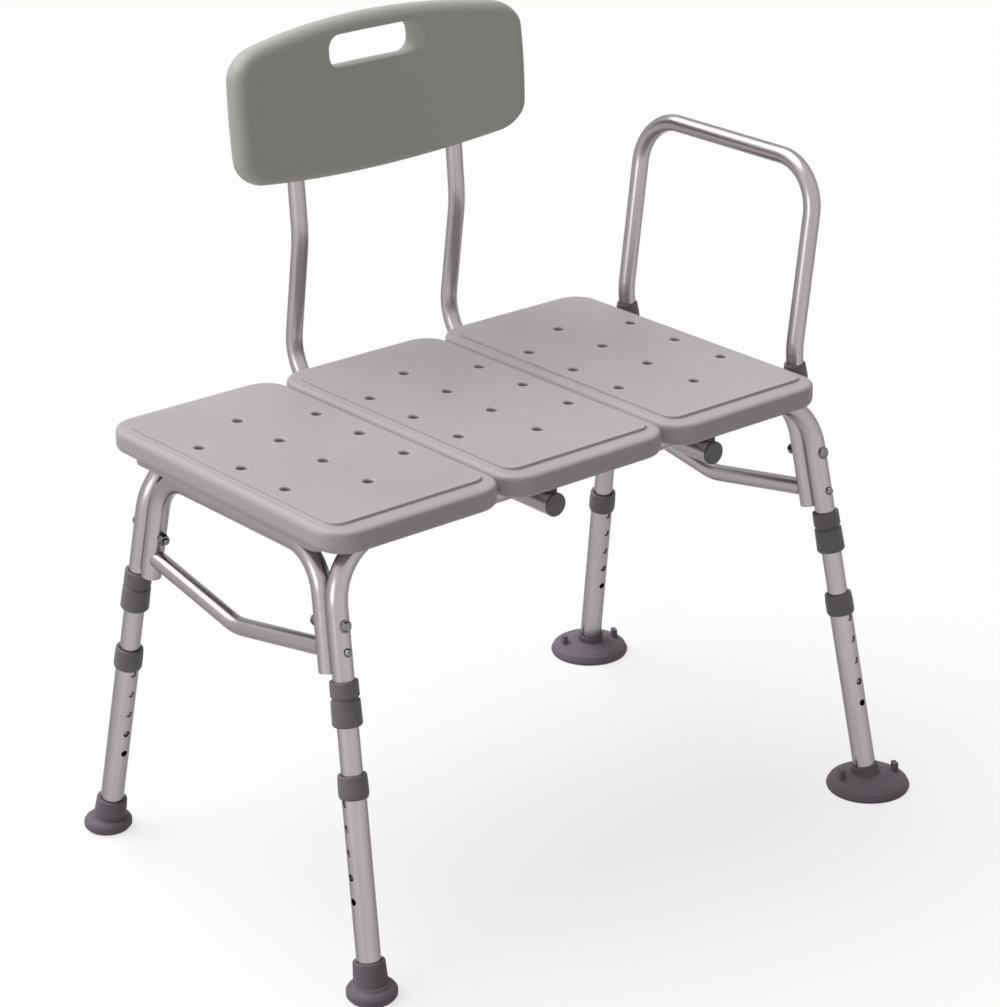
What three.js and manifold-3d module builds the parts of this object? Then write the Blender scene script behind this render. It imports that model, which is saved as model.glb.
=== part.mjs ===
// Transfer bench: three moulded seat panels on a splayed aluminium tube frame, with a
// plug-in back rest, a plug-in arm rest and four legs of adjustable height.
// Millimetres, +Z up, +X along the bench towards the arm rest, -Y to the front.

import * as THREE from 'three';
import { mergeVertices } from 'three/addons/utils/BufferGeometryUtils.js';
import Module from 'manifold-3d';

const wasm = await Module();
wasm.setup();

// Clearances
const fitGap = 0.3; // air between pieces that rest on or hold each other
const slideGap = 0.4; // air between tubes that slide in each other
const overrun = 2; // how far a cutting solid runs past what it cuts

// Faceting
const frameSides = 12;
const footSides = 16;
const smallSides = 10;
const drainSides = 8;
const boltSides = 6;
const bendStep = THREE.MathUtils.degToRad(15);
const weldDistance = 1e-4;

// Seat
const seatHeight = 490;
const panelWidth = 217.6;
const panelGap = 2.4;
const panelPitch = panelWidth + panelGap;
const panelDepth = 406;
const panelThick = 28;
const panelCorner = 35;
const panelEdge = 7;
const seatShift = -23.7; // the seat sits off the frame's middle, to clear the arm rest
const drainPitch = 74.5;
const drainRadius = 4.8;
// Each row's place across a panel and its holes' places along it, in pitches
const drainRowShares = [[-1, [-1, 0, 1]], [0, [-1.5, -0.5, 0.5, 1.5]], [1, [-1, 0, 1]]];
const rimDrop = 3; // the raised seat stands this far over the rim round it
const rimWidth = 12.8; // at the panel's long sides
const rimDepth = 21; // at its front and rear
const raisedCorner = 20;
const raisedEdge = 1.2;
const apronDrop = 8;
const apronWidth = 44;
const apronLength = 320;
const bossDrop = 2;
const bossDepth = 60;
const bossWidth = 62;

// Frame tubes
const tubeRadius = 11.1;
const tubeWall = 1.5;
const railDrop = 33; // seat top down to the rails' axes
const railInset = 6.5; // from the seat's end to where the leg's axis meets the rail's level
const railHalfLength = 1.5 * panelPitch - railInset;
const railSetback = 47.5; // from the panels' front edge
const railHalfWidth = panelDepth / 2 - railSetback;
const railBend = 66;
const splayX = 0.064; // outward run of a leg for each unit of drop
const splayY = 0.184;

// End frames and braces
const endDrop = 46; // seat top down to the end frames' top run
const endBend = 50;
const endTail = 133; // drop from the rail to the end frames' lower ends
const braceRadius = 9.5;
const braceWall = 1.5;
const braceBend = 70;
const leftUpperBolt = 79; // drop from the rail
const leftLowerBolt = 105;
const rightUpperBolt = 67;
const rightLowerBolt = 110;
const boltRadius = 3;
const boltHole = 3.3;
const boltHeadRadius = 5.4;
const boltHeadThick = 3.4;
const nutRadius = 6.2;
const nutThick = 6;
const boltGrip = 14; // how far the lower bolt enters the brace

// Back rest
const receiverRadius = 12.7;
const receiverWall = 1.5;
const receiverNose = 19; // how far the receiver reaches out in front of the rail
const receiverTail = 24.5;
const receiverFrontY = -railHalfWidth - receiverNose;
const receiverRearY = railHalfWidth + receiverTail;
const plugFace = 2.6;
const plugSpigot = 16;
const bushFlange = 3;
const bushDepth = 30;
const releaseRadius = 3.2;
const releaseOut = 5.6;
const releaseDepth = 7; // stem below the receiver's axis
const releaseSetback = 1.2; // from the receiver's front end
const releaseTravel = 3;
const backTubeRadius = 9.5;
const backTubeWall = 1.3;
const backSpacing = 220;
const backCentre = 55.6;
const backReach = 125.5; // from the rear rail to where the level run and the upright's line cross
const backBaseY = railHalfWidth + backReach;
const backBend = 60;
const lumbarForward = 28.3; // the kink, in front of that crossing
const lumbarY = backBaseY - lumbarForward;
const lumbarRise = 125; // seat top up to the kink
const lumbarBend = 150;
const backLean = THREE.MathUtils.degToRad(4);
const backInsert = 100;
const backWidth = 397;
const backTall = 174;
const backThick = 32;
const backEdge = 14;
const backCorner = 31;
const backCurve = 20; // how far the panel's ends come forward of its middle
const backSet = 2.5; // the panel's middle behind its tubes
const backRise = 184.4; // seat top up to the back rest's lower edge
const backTopBulge = 19;
const backLowBulge = 17;
const backEndBulge = 3;
const backSideSteps = 8;
const backFacetLength = 45; // longest edge of the faces that follow the curve
const slotLength = 123;
const slotTall = 36;
const slotCorner = 15;
const slotFromTop = 36.5; // back rest's top edge down to the slot's middle

// Arm rest
const armRadius = 9.5;
const armWall = 1.3;
const armStubLow = 60; // seat top down to where the arm rest's stubs meet the end frame
const armStubTop = 22; // seat top down to the stubs' upper ends
const armFootDrop = 50; // seat top down to the arm rest's lower ends
const armKneeRise = 15;
const armKneeBend = 80;
const armRise = 215;
const armOutset = 28;
const armBend = 55;
const socketRadius = 13.7;
const socketNeck = 11.6;
const socketTopDrop = 3;
const socketLowDrop = 38;
const socketTaper = 17;

// Legs, measured along each leg's axis from the rail's level
const collarTopDrop = 136.5;
const collarLength = 46;
const collarRing = 13;
const collarGroove = 3;
const collarGrooveDepth = 0.8;
const collarUpperRadius = 14.8;
const collarLowerRadius = 15.6;
const frameLegEnd = 160;
const spigotLength = 42;
const innerTubeEnd = 356;
const innerWall = 1.2;
const lowerTubeRadius = 12.7;
const capTopDrop = 232.3;
const capRadius = 15.2;
const capLip = 4;
const firstHoleDrop = 260.8;
const holePitch = 25.4;
const holeCount = 5;
const pinHole = 3; // the button sits in this hole, counted from the top one as 0
const holeRadius = 3.8;

// Snap buttons: a domed head on a folded leaf spring, drawn pressed in
const clipLeaf = 0.9;
const clipWidth = 7;
const clipArm = 34;
const headRadius = 3.3;
const headOut = 2.6;
const headDomeShare = 0.35;

// Feet
const tipSleeveRadius = 17;
const tipFlangeRadius = 27;
const tipFlangeThick = 15;
const tipTall = 39;
const tipSoleEdge = 2.5;
const tipShoulder = 4.5;
const cupRadius = 48;
const cupTall = 24;
const cupNeck = 15.6;
const cupLip = 3;
const cupHollow = 6;
const cupRimWidth = 7;
const cupEdge = 4;
const cupSkirtRise = 8; // from the rim's lip up to the lugs' place
const cupShoulder = 4.8;
const cupSleeveRise = 3;
const lugRadius = 32;
const lugTall = 12;
const lugWidth = 9;
const lugThick = 5;
const lugRoot = 2; // how far over the hollow a lug starts
const lugTurn = THREE.MathUtils.degToRad(-23.5);
const footFloor = 6; // rubber below the tube's end

// Materials
function paint(color, roughness, metalness) {
  return new THREE.MeshStandardMaterial({ color, roughness, metalness });
}
const seatPlastic = () => paint(0xb8b2b0, 0.55, 0);
const backPlastic = () => paint(0x85857f, 0.55, 0);
const aluminium = () => paint(0xc9c6ca, 0.32, 0.9);
const collarPlastic = () => paint(0x5b555b, 0.6, 0);
const rubber = () => paint(0x554f55, 0.85, 0);
const steel = () => paint(0xb4b4b6, 0.3, 0.95);
const blackPlastic = () => paint(0x1c1c1d, 0.5, 0);

// Solids
function solidOf(geometry) {
  const plain = geometry.index ? geometry.toNonIndexed() : geometry.clone();
  plain.deleteAttribute('normal');
  plain.deleteAttribute('uv');
  const merged = mergeVertices(plain, weldDistance);
  const faces = [];
  for (let i = 0; i < merged.index.count; i += 3) {
    const [a, b, c] = merged.index.array.slice(i, i + 3);
    if (a !== b && b !== c && c !== a) faces.push(a, b, c);
  }
  const mesh = new wasm.Mesh({
    numProp: 3,
    vertProperties: new Float32Array(merged.attributes.position.array),
    triVerts: new Uint32Array(faces),
  });
  return new wasm.Manifold(mesh);
}

function geometryOf(solid) {
  const mesh = solid.getMesh();
  const geometry = new THREE.BufferGeometry();
  geometry.setAttribute('position', new THREE.BufferAttribute(mesh.vertProperties, 3));
  geometry.setIndex(new THREE.BufferAttribute(mesh.triVerts, 1));
  return geometry;
}

function cut(geometry, tools) {
  return geometryOf(tools.reduce((body, tool) => body.subtract(solidOf(tool)), solidOf(geometry)));
}

function join(geometries) {
  return geometryOf(geometries.map(solidOf).reduce((body, other) => body.add(other)));
}

// A regular ring of points: on the radius for an outside, round it for a bore
function ring(radius, sides, isBore = false) {
  const reach = isBore ? radius / Math.cos(Math.PI / sides) : radius;
  return Array.from({ length: sides }, (_, i) => {
    const angle = ((i + 0.5) / sides) * 2 * Math.PI;
    return new THREE.Vector2(reach * Math.cos(angle), reach * Math.sin(angle));
  });
}

function tubeSection(radius, wall, sides) {
  const section = new THREE.Shape(ring(radius, sides));
  if (wall) section.holes.push(new THREE.Path(ring(radius - wall, sides, true)));
  return section;
}

// The axis of a bent tube: straight runs joined by arcs, with stations only where it turns
class BentAxis extends THREE.Curve {
  constructor(corners, bends) {
    super();
    this.stations = [];
    const last = corners.length - 1;
    const heading = (i) => corners[i + 1].clone().sub(corners[i]).normalize();
    this.stations.push({ point: corners[0].clone(), tangent: heading(0) });
    for (let i = 1; i < last; i += 1) this.addBend(corners[i], heading(i - 1), heading(i), bends[i - 1]);
    this.stations.push({ point: corners[last].clone(), tangent: heading(last - 1) });
  }

  addBend(corner, from, to, radius) {
    const turn = from.angleTo(to);
    const reach = radius * Math.tan(turn / 2);
    const start = corner.clone().addScaledVector(from, -reach);
    const axis = from.clone().cross(to).normalize();
    const inward = axis.clone().cross(from);
    const centre = start.clone().addScaledVector(inward, radius);
    const steps = Math.max(2, Math.ceil(turn / bendStep));
    for (let k = 0; k <= steps; k += 1) {
      const angle = (turn * k) / steps;
      const spoke = inward.clone().negate().applyAxisAngle(axis, angle);
      this.stations.push({
        point: centre.clone().addScaledVector(spoke, radius),
        tangent: from.clone().applyAxisAngle(axis, angle),
      });
    }
  }

  get steps() {
    return this.stations.length - 1;
  }

  getPointAt(u) {
    return this.stations[Math.round(u * this.steps)].point.clone();
  }

  getTangentAt(u) {
    return this.stations[Math.round(u * this.steps)].tangent.clone();
  }

  getSpacedPoints() {
    return this.stations.map((station) => station.point.clone());
  }
}

function bentTube(corners, bends, radius, wall, sides = frameSides) {
  const axis = new BentAxis(corners, bends);
  const section = tubeSection(radius, wall, sides);
  return new THREE.ExtrudeGeometry(section, { steps: axis.steps, extrudePath: axis });
}

function straightTube(from, to, radius, wall, sides = frameSides) {
  return bentTube([from, to], [], radius, wall, sides);
}

function rod(from, to, radius, sides = boltSides) {
  return bentTube([from, to], [], radius, 0, sides);
}

// A turned piece from [radius, height] pairs that close on the axis or on themselves
function turned(profile, sides = frameSides) {
  const points = profile.map(([radius, height]) => new THREE.Vector2(radius, height));
  if (points[0].x > 0) points.push(points[0].clone());
  if (THREE.ShapeUtils.isClockWise(points)) points.reverse();
  return new THREE.LatheGeometry(points, sides, Math.PI / sides).rotateX(Math.PI / 2);
}

// A radius that keeps a turned bore round the circle that it has to clear
function boreRadius(radius, sides = frameSides) {
  return radius / Math.cos(Math.PI / sides);
}

function roundedRectangle(width, height, radius, bulge = (x, y) => [x, y], steps = 4, sideSteps = 1) {
  const flat = [];
  [[1, 1, 0], [-1, 1, 1], [-1, -1, 2], [1, -1, 3]].forEach(([sx, sy, quarter]) => {
    for (let k = 0; k <= steps; k += 1) {
      const angle = ((quarter + k / steps) * Math.PI) / 2;
      const x = sx * (width / 2 - radius) + radius * Math.cos(angle);
      const y = sy * (height / 2 - radius) + radius * Math.sin(angle);
      flat.push([x, y]);
    }
  });
  return flat.flatMap(([x, y], i) => {
    const [nextX, nextY] = flat[(i + 1) % flat.length];
    const isSide = i % (steps + 1) === steps;
    const shares = Array.from({ length: isSide ? sideSteps : 1 }, (_, k) => (isSide ? k / sideSteps : 0));
    return shares.map((share) => new THREE.Vector2(
      ...bulge(x + (nextX - x) * share, y + (nextY - y) * share),
    ));
  });
}

function box(low, high) {
  const size = new THREE.Vector3(...high).sub(new THREE.Vector3(...low));
  const geometry = new THREE.BoxGeometry(size.x, size.y, size.z);
  return geometry.translate(low[0] + size.x / 2, low[1] + size.y / 2, low[2] + size.z / 2);
}

const bench = new THREE.Group();

function place(parent, name, geometry, material) {
  const mesh = new THREE.Mesh(geometry, material);
  mesh.name = name;
  parent.add(mesh);
  return mesh;
}

const point = (x, y, z) => new THREE.Vector3(x, y, z);

// Levels and places that several pieces share
const railZ = seatHeight - railDrop;
const endZ = seatHeight - endDrop;
const legReach = Math.hypot(splayX, splayY, 1);
const pairOffset = (2 * tubeRadius + fitGap) * Math.hypot(1, splayY); // leg to end frame, along Y

function legPoint(sx, sy, drop) {
  const x = sx * (railHalfLength + drop * splayX);
  const y = sy * (railHalfWidth + drop * splayY);
  return point(x, y, railZ - drop);
}

function uprightPoint(sx, sy, drop) {
  return legPoint(sx, sy, drop).sub(point(0, sy * pairOffset, 0));
}

const corners = [
  { key: 'left_front', sx: -1, sy: -1, turn: Math.PI },
  { key: 'left_rear', sx: -1, sy: 1, turn: -Math.PI / 2 },
  { key: 'right_front', sx: 1, sy: -1, turn: -Math.PI / 2 },
  { key: 'right_rear', sx: 1, sy: 1, turn: -Math.PI / 2 },
];

// The line of a bolt through a leg and the end frame behind it
function boltLine({ sx, sy }, drop) {
  const centre = legPoint(sx, sy, drop);
  const along = legPoint(sx, sy, drop + 1).sub(centre).normalize();
  const inward = uprightPoint(sx, sy, drop).sub(centre);
  inward.addScaledVector(along, -inward.dot(along)).normalize();
  return { centre, inward };
}

function onBolt({ centre, inward }, distance) {
  return centre.clone().addScaledVector(inward, distance);
}

function boltBore(corner, drop) {
  const line = boltLine(corner, drop);
  const reach = 2 * tubeRadius;
  return rod(onBolt(line, -reach), onBolt(line, reach + 2 * tubeRadius), boltHole);
}

const upperBolt = (sx) => (sx < 0 ? leftUpperBolt : rightUpperBolt);
const lowerBolt = (sx) => (sx < 0 ? leftLowerBolt : rightLowerBolt);

function boltBores(list) {
  return list.flatMap((corner) => [upperBolt, lowerBolt].map((drop) => boltBore(corner, drop(corner.sx))));
}

// Seat panels
const seatUnderside = seatHeight - panelThick;

// A rounded slab with its lower and upper edges bevelled
function slab(width, depth, corner, low, high, edge) {
  const geometry = new THREE.ExtrudeGeometry(new THREE.Shape(roundedRectangle(width, depth, corner)), {
    depth: high - low - 2 * edge,
    bevelEnabled: edge > 0,
    bevelThickness: edge,
    bevelSize: edge,
    bevelOffset: -edge,
    bevelSegments: 2,
    steps: 1,
  });
  return geometry.translate(0, 0, low + edge);
}

// The panel's body reaches its rim, and the raised seat stands on it
function panelSlabs() {
  const rim = seatHeight - rimDrop;
  return [
    slab(panelWidth, panelDepth, panelCorner, seatUnderside, rim, panelEdge),
    slab(
      panelWidth - 2 * rimWidth,
      panelDepth - 2 * rimDepth,
      raisedCorner,
      seatUnderside + panelEdge,
      seatHeight,
      raisedEdge,
    ),
  ];
}

function drainHoles() {
  return drainRowShares.flatMap(([across, places]) => places.map((along) => {
    const at = point(across * drainPitch, along * drainPitch, seatUnderside - overrun);
    return rod(at, at.clone().setZ(seatHeight + overrun), drainRadius, drainSides);
  }));
}

function railPath(sy) {
  const drop = frameLegEnd / legReach;
  return [legPoint(-1, sy, drop), legPoint(-1, sy, 0), legPoint(1, sy, 0), legPoint(1, sy, drop)];
}

// Shallow channels in a panel's underside, which lie over the rails
function railChannels(centreX) {
  return [-1, 1].map((sy) => {
    const channel = bentTube(railPath(sy), [railBend, railBend], boreRadius(tubeRadius + fitGap), 0);
    return channel.translate(-centreX, 0, 0);
  });
}

// The deeper edge of an end panel, which saddles the end frame below it
function apron(side) {
  const outer = side * (panelWidth / 2 - panelEdge);
  const inner = side * (panelWidth / 2 - apronWidth);
  return box(
    [Math.min(outer, inner), -apronLength / 2, seatUnderside - apronDrop],
    [Math.max(outer, inner), apronLength / 2, seatUnderside + panelEdge],
  );
}

// A pad under the front edge, over the back rest's receiver
function frontBoss() {
  const left = -panelWidth / 2 + panelCorner;
  const front = -panelDepth / 2 + panelEdge;
  return box(
    [left, front, seatUnderside - bossDrop],
    [left + bossWidth, front + bossDepth, seatUnderside + panelEdge],
  );
}

function seatPanel(slot) {
  const centreX = seatShift + slot * panelPitch;
  const parts = [...panelSlabs(), frontBoss()];
  if (slot < 0) parts.push(apron(-1));
  const saddle = rod(
    point(-railHalfLength - (railZ - endZ) * splayX - centreX, -panelDepth, endZ),
    point(-railHalfLength - (railZ - endZ) * splayX - centreX, panelDepth, endZ),
    boreRadius(tubeRadius + fitGap),
    frameSides,
  );
  const tools = [...railChannels(centreX), ...drainHoles()];
  if (slot < 0) tools.push(saddle);
  const word = ['left', 'middle', 'right'][slot + 1];
  const mesh = place(bench, `seat_panel_${word}`, cut(join(parts), tools), seatPlastic());
  mesh.position.x = centreX;
}

// Frame
function rail(sy, name) {
  const tube = bentTube(railPath(sy), [railBend, railBend], tubeRadius, tubeWall);
  place(bench, name, cut(tube, boltBores(corners.filter((corner) => corner.sy === sy))), aluminium());
}

function endFramePath(sx, tail) {
  const top = railZ - endZ;
  return [
    uprightPoint(sx, -1, tail), uprightPoint(sx, -1, top),
    uprightPoint(sx, 1, top), uprightPoint(sx, 1, tail),
  ];
}

// A point of the arm rest's lower axis, which leans with the right end frame, by its rise over the seat
function armPoint(sy, rise) {
  const foot = uprightPoint(1, sy, armStubLow - railDrop);
  return point(foot.x - (rise + armStubLow) * splayX, foot.y, seatHeight + rise);
}

// The right end frame has two upright stubs on it, which take the arm rest
function endFrame(sx, name) {
  const bends = [endBend, endBend];
  const outer = [bentTube(endFramePath(sx, endTail), bends, tubeRadius, 0)];
  const bore = boreRadius(tubeRadius - tubeWall);
  const inner = [bentTube(endFramePath(sx, endTail + overrun), bends, bore, 0)];
  if (sx > 0) {
    [-1, 1].forEach((sy) => {
      const [low, high, foot, air] = [armStubLow + tubeRadius, armStubTop, armFootDrop + fitGap, 0]
        .map((drop) => armPoint(sy, -drop));
      outer.push(rod(low, high, tubeRadius, frameSides));
      inner.push(rod(foot, air, bore, frameSides));
    });
  }
  const bolts = boltBores(corners.filter((corner) => corner.sx === sx));
  place(bench, name, cut(join(outer), [...inner, ...bolts]), aluminium());
}

function brace(sx, name) {
  const ends = [-1, 1].map((sy) => boltLine({ sx, sy }, lowerBolt(sx)));
  const start = tubeRadius * 3 + fitGap;
  const [front, rear] = ends.map((line) => onBolt(line, start));
  const rise = front.y / ends[0].inward.y;
  const middle = front.clone().addScaledVector(ends[0].inward, -rise).setY(0);
  const tube = bentTube([front, middle, rear], [braceBend], braceRadius, braceWall, smallSides);
  const plugs = ends.map((line) => rod(
    onBolt(line, start + tubeWall),
    onBolt(line, start + tubeRadius + boltGrip),
    braceRadius - braceWall / 2,
    smallSides,
  ));
  const copes = [-1, 1].map((sy) => rod(
    uprightPoint(sx, sy, upperBolt(sx)),
    uprightPoint(sx, sy, endTail + 2 * tubeRadius),
    boreRadius(tubeRadius + fitGap),
    frameSides,
  ));
  const bores = ends.map((line) => rod(
    onBolt(line, tubeRadius),
    onBolt(line, start + tubeRadius + boltGrip + overrun),
    boltHole,
  ));
  place(bench, name, cut(join([tube, ...plugs]), [...copes, ...bores]), aluminium());
}

// A bolt with its head outside the leg; the upper ones take a nut inside the end frame
function frameBolt(corner, drop, hasNut, name) {
  const line = boltLine(corner, drop);
  const outside = tubeRadius + fitGap;
  const inside = 3 * tubeRadius + fitGap;
  const tip = hasNut ? inside + nutThick + 2 * overrun : inside + boltGrip;
  const pieces = [
    rod(onBolt(line, -outside - boltHeadThick / 2), onBolt(line, tip), boltRadius),
    rod(onBolt(line, -outside - boltHeadThick), onBolt(line, -outside), boltHeadRadius, smallSides),
  ];
  place(bench, name, join(pieces), steel());
}

function frameNut(corner, drop, name) {
  const line = boltLine(corner, drop);
  const seat = 3 * tubeRadius + 2 * fitGap;
  const nut = rod(onBolt(line, seat), onBolt(line, seat + nutThick), nutRadius);
  const bore = rod(onBolt(line, seat - overrun), onBolt(line, seat + nutThick + overrun), boltHole);
  place(bench, name, cut(nut, [bore]), steel());
}

// A snap button: head along +X, folded leaf spring hanging along -Z inside a bore
function snapClip(bore, tip, press) {
  const out = Math.sqrt(bore * bore - (clipWidth * clipWidth) / 4) - fitGap;
  const near = out - press;
  const pad = headRadius + clipLeaf;
  const outline = [
    [near, pad], [near, -pad], [0, -clipArm], [-out, -pad], [-out, pad], [clipLeaf - out, pad],
    [clipLeaf - out, -pad], [0, 3 * clipLeaf - clipArm], [near - clipLeaf, -pad], [near - clipLeaf, pad],
  ];
  const leaf = new THREE.Shape(outline.map(([x, y]) => new THREE.Vector2(x, y)));
  const spring = new THREE.ExtrudeGeometry(leaf, { depth: clipWidth, bevelEnabled: false });
  spring.translate(0, 0, -clipWidth / 2).rotateX(Math.PI / 2);
  const dome = headRadius * headDomeShare;
  const head = turned([
    [0, near - clipLeaf / 2], [headRadius, near - clipLeaf / 2], [headRadius, tip - dome],
    [headRadius - dome, tip], [0, tip],
  ], smallSides).rotateY(Math.PI / 2);
  return join([spring, head]);
}

// Back rest receivers, under the rails
const receiverZ = railZ - tubeRadius - receiverRadius - fitGap;

function backX(side) {
  return backCentre + (side * backSpacing) / 2;
}

function receiver(side, word) {
  const x = backX(side);
  const axisPoint = (y) => point(x, y, receiverZ);
  const tube = straightTube(axisPoint(receiverFrontY), axisPoint(receiverRearY), receiverRadius, receiverWall);
  const stand = axisPoint(receiverFrontY + releaseSetback);
  const stemBore = boreRadius(releaseRadius + fitGap, smallSides);
  const top = stand.clone().add(point(0, 0, 2 * receiverRadius));
  place(bench, `back_receiver_${word}`, cut(tube, [rod(stand, top, stemBore, smallSides)]), aluminium());

  const spigot = receiverRadius - receiverWall - fitGap;
  const plug = turned([
    [0, -plugFace - fitGap], [receiverRadius, -plugFace - fitGap], [receiverRadius, -fitGap],
    [spigot, -fitGap], [spigot, plugSpigot], [0, plugSpigot],
  ]).rotateX(-Math.PI / 2).translate(x, receiverFrontY, receiverZ);
  const sump = stand.clone().add(point(0, 0, -releaseDepth - releaseTravel - fitGap));
  place(bench, `receiver_plug_${word}`, cut(plug, [rod(sump, top, stemBore, smallSides)]), collarPlastic());

  const dome = releaseRadius * headDomeShare;
  const head = receiverRadius + releaseOut;
  const button = turned([
    [0, -releaseDepth], [releaseRadius, -releaseDepth], [releaseRadius, head - dome],
    [releaseRadius - dome, head], [0, head],
  ], smallSides);
  place(bench, `back_release_${word}`, button, blackPlastic()).position.copy(stand);

  const bushBore = boreRadius(backTubeRadius + fitGap);
  const bush = turned([
    [bushBore, -bushDepth], [spigot, -bushDepth], [spigot, fitGap], [receiverRadius, fitGap],
    [receiverRadius, bushFlange], [bushBore, bushFlange],
  ]).rotateX(-Math.PI / 2);
  place(bench, `receiver_bush_${word}`, bush, collarPlastic()).position.copy(axisPoint(receiverRearY));
}

// Back rest
function backTube(side, word) {
  const x = backX(side);
  const front = receiverFrontY + plugSpigot + slideGap;
  const kink = point(x, lumbarY, seatHeight + lumbarRise);
  const rise = backRise - lumbarRise + backInsert * Math.cos(backLean);
  const path = [
    point(x, front, receiverZ), point(x, backBaseY, receiverZ), kink,
    kink.clone().add(point(0, rise * Math.tan(backLean), rise)),
  ];
  const tube = bentTube(path, [backBend, lumbarBend], backTubeRadius, backTubeWall, smallSides);
  place(bench, `back_tube_${word}`, tube, aluminium());
}

function backPanel() {
  const halfWidth = backWidth / 2;
  const halfTall = backTall / 2;
  const barrel = (x, y) => {
    const across = 1 - (x / halfWidth) ** 2;
    const up = 1 - (y / halfTall) ** 2;
    const rise = y > 0 ? backTopBulge : backLowBulge;
    return [
      x + (backEndBulge * up * x) / halfWidth - (backEndBulge * x) / halfWidth,
      y + (rise * across * y) / halfTall - (rise * y) / halfTall,
    ];
  };
  const outline = new THREE.Shape(roundedRectangle(backWidth, backTall, backCorner, barrel, 5, backSideSteps));
  const body = new THREE.ExtrudeGeometry(outline, {
    depth: backThick - 2 * backEdge,
    bevelThickness: backEdge,
    bevelSize: backEdge,
    bevelOffset: -backEdge,
    bevelSegments: 3,
    steps: 1,
  });
  body.translate(0, 0, -backThick / 2 + backEdge).rotateX(Math.PI / 2);
  const fine = solidOf(body).refineToLength(backFacetLength);
  const curved = geometryOf(fine.warp((vertex) => {
    vertex[1] -= backCurve * (vertex[0] / halfWidth) ** 2;
  }));
  const socketY = -backSet * Math.cos(backLean);
  const slotRise = halfTall - slotFromTop;
  const slot = new THREE.Shape(roundedRectangle(slotLength, slotTall, slotCorner, (x, y) => [x, y + slotRise]));
  const slotTool = new THREE.ExtrudeGeometry(slot, { depth: 2 * backThick, bevelEnabled: false });
  slotTool.translate(0, 0, -backThick).rotateX(Math.PI / 2);
  const sockets = [-1, 1].map((side) => {
    const x = (side * backSpacing) / 2;
    return rod(
      point(x, socketY, -backTall),
      point(x, socketY, -halfTall + backInsert + fitGap),
      boreRadius(backTubeRadius + fitGap, smallSides),
      smallSides,
    );
  });
  const mesh = place(bench, 'back_panel', cut(curved, [slotTool, ...sockets]), backPlastic());
  const rise = backRise + halfTall * Math.cos(backLean);
  const tubeY = lumbarY + (rise - lumbarRise) * Math.tan(backLean);
  mesh.position.set(backCentre, tubeY + backSet, seatHeight + rise);
  mesh.rotation.x = -backLean;
}

// Arm rest
function armRest() {
  const [feet, knees] = [-armFootDrop, armKneeRise]
    .map((rise) => [1, -1].map((sy) => armPoint(sy, rise)));
  const tops = knees.map((knee) => knee.clone().add(point(armOutset, 0, armRise - armKneeRise)));
  const path = [feet[0], knees[0], tops[0], tops[1], knees[1], feet[1]];
  const bends = [armKneeBend, armBend, armBend, armKneeBend];
  place(bench, 'armrest_tube', bentTube(path, bends, armRadius, armWall), aluminium());

  feet.forEach((foot, i) => {
    const collarAt = armPoint(foot.y > 0 ? 1 : -1, 0);
    const shoulder = fitGap - armStubTop;
    const neck = boreRadius(armRadius + fitGap);
    const skirt = boreRadius(tubeRadius + fitGap);
    const socket = turned([
      [skirt, -socketLowDrop], [socketRadius, -socketLowDrop], [socketRadius, -socketTaper],
      [socketNeck, -socketTopDrop], [neck, -socketTopDrop], [neck, shoulder], [skirt, shoulder],
    ]);
    const mesh = place(bench, `armrest_socket_${['rear', 'front'][i]}`, socket, collarPlastic());
    mesh.position.copy(collarAt);
    mesh.quaternion.setFromUnitVectors(point(0, 0, 1), collarAt.clone().sub(foot).normalize());
  });
}

// Legs: each is a group at the rail's level, with its axis along -Z
const soleDistance = railZ * legReach;

function upperCollar() {
  const bore = boreRadius(tubeRadius + fitGap);
  const top = -collarTopDrop;
  const end = top - collarLength;
  const grooveTop = top - collarRing;
  return turned([
    [bore, top], [collarUpperRadius, top], [collarUpperRadius, grooveTop],
    [collarUpperRadius - collarGrooveDepth, grooveTop],
    [collarUpperRadius - collarGrooveDepth, grooveTop - collarGroove],
    [collarUpperRadius, grooveTop - collarGroove], [collarLowerRadius, end + collarGroove],
    [collarUpperRadius - collarGrooveDepth, end], [bore, end],
  ]);
}

function innerTube(turn) {
  const bore = boreRadius(tubeRadius - innerWall);
  const spigotRadius = tubeRadius - tubeWall - fitGap;
  const spigotBore = boreRadius(spigotRadius - innerWall);
  const shoulder = -frameLegEnd - fitGap;
  const top = shoulder + spigotLength;
  const tube = turned([
    [spigotBore, top], [spigotRadius, top], [spigotRadius, shoulder], [tubeRadius, shoulder],
    [tubeRadius, -innerTubeEnd], [bore, -innerTubeEnd], [bore, shoulder - 2 * innerWall],
    [spigotBore, shoulder - 2 * innerWall],
  ]);
  return cut(tube, [pinBore(turn, -pinDistance)]);
}

const pinDistance = firstHoleDrop + pinHole * holePitch;
const capLength = firstHoleDrop - capTopDrop - holeRadius - fitGap; // the cap ends over the top hole

function pinBore(turn, z) {
  const out = point(Math.cos(turn), Math.sin(turn), 0).multiplyScalar(2 * lowerTubeRadius);
  return rod(point(0, 0, z), out.setZ(z), holeRadius, smallSides);
}

function lowerCap() {
  const top = -capTopDrop;
  return turned([
    [boreRadius(tubeRadius + slideGap), top], [capRadius - fitGap, top],
    [capRadius, top - collarGroove], [capRadius, top - capLength],
    [boreRadius(lowerTubeRadius + fitGap), top - capLength],
    [boreRadius(lowerTubeRadius + fitGap), top - capLip],
    [boreRadius(tubeRadius + slideGap), top - capLip],
  ]);
}

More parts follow.
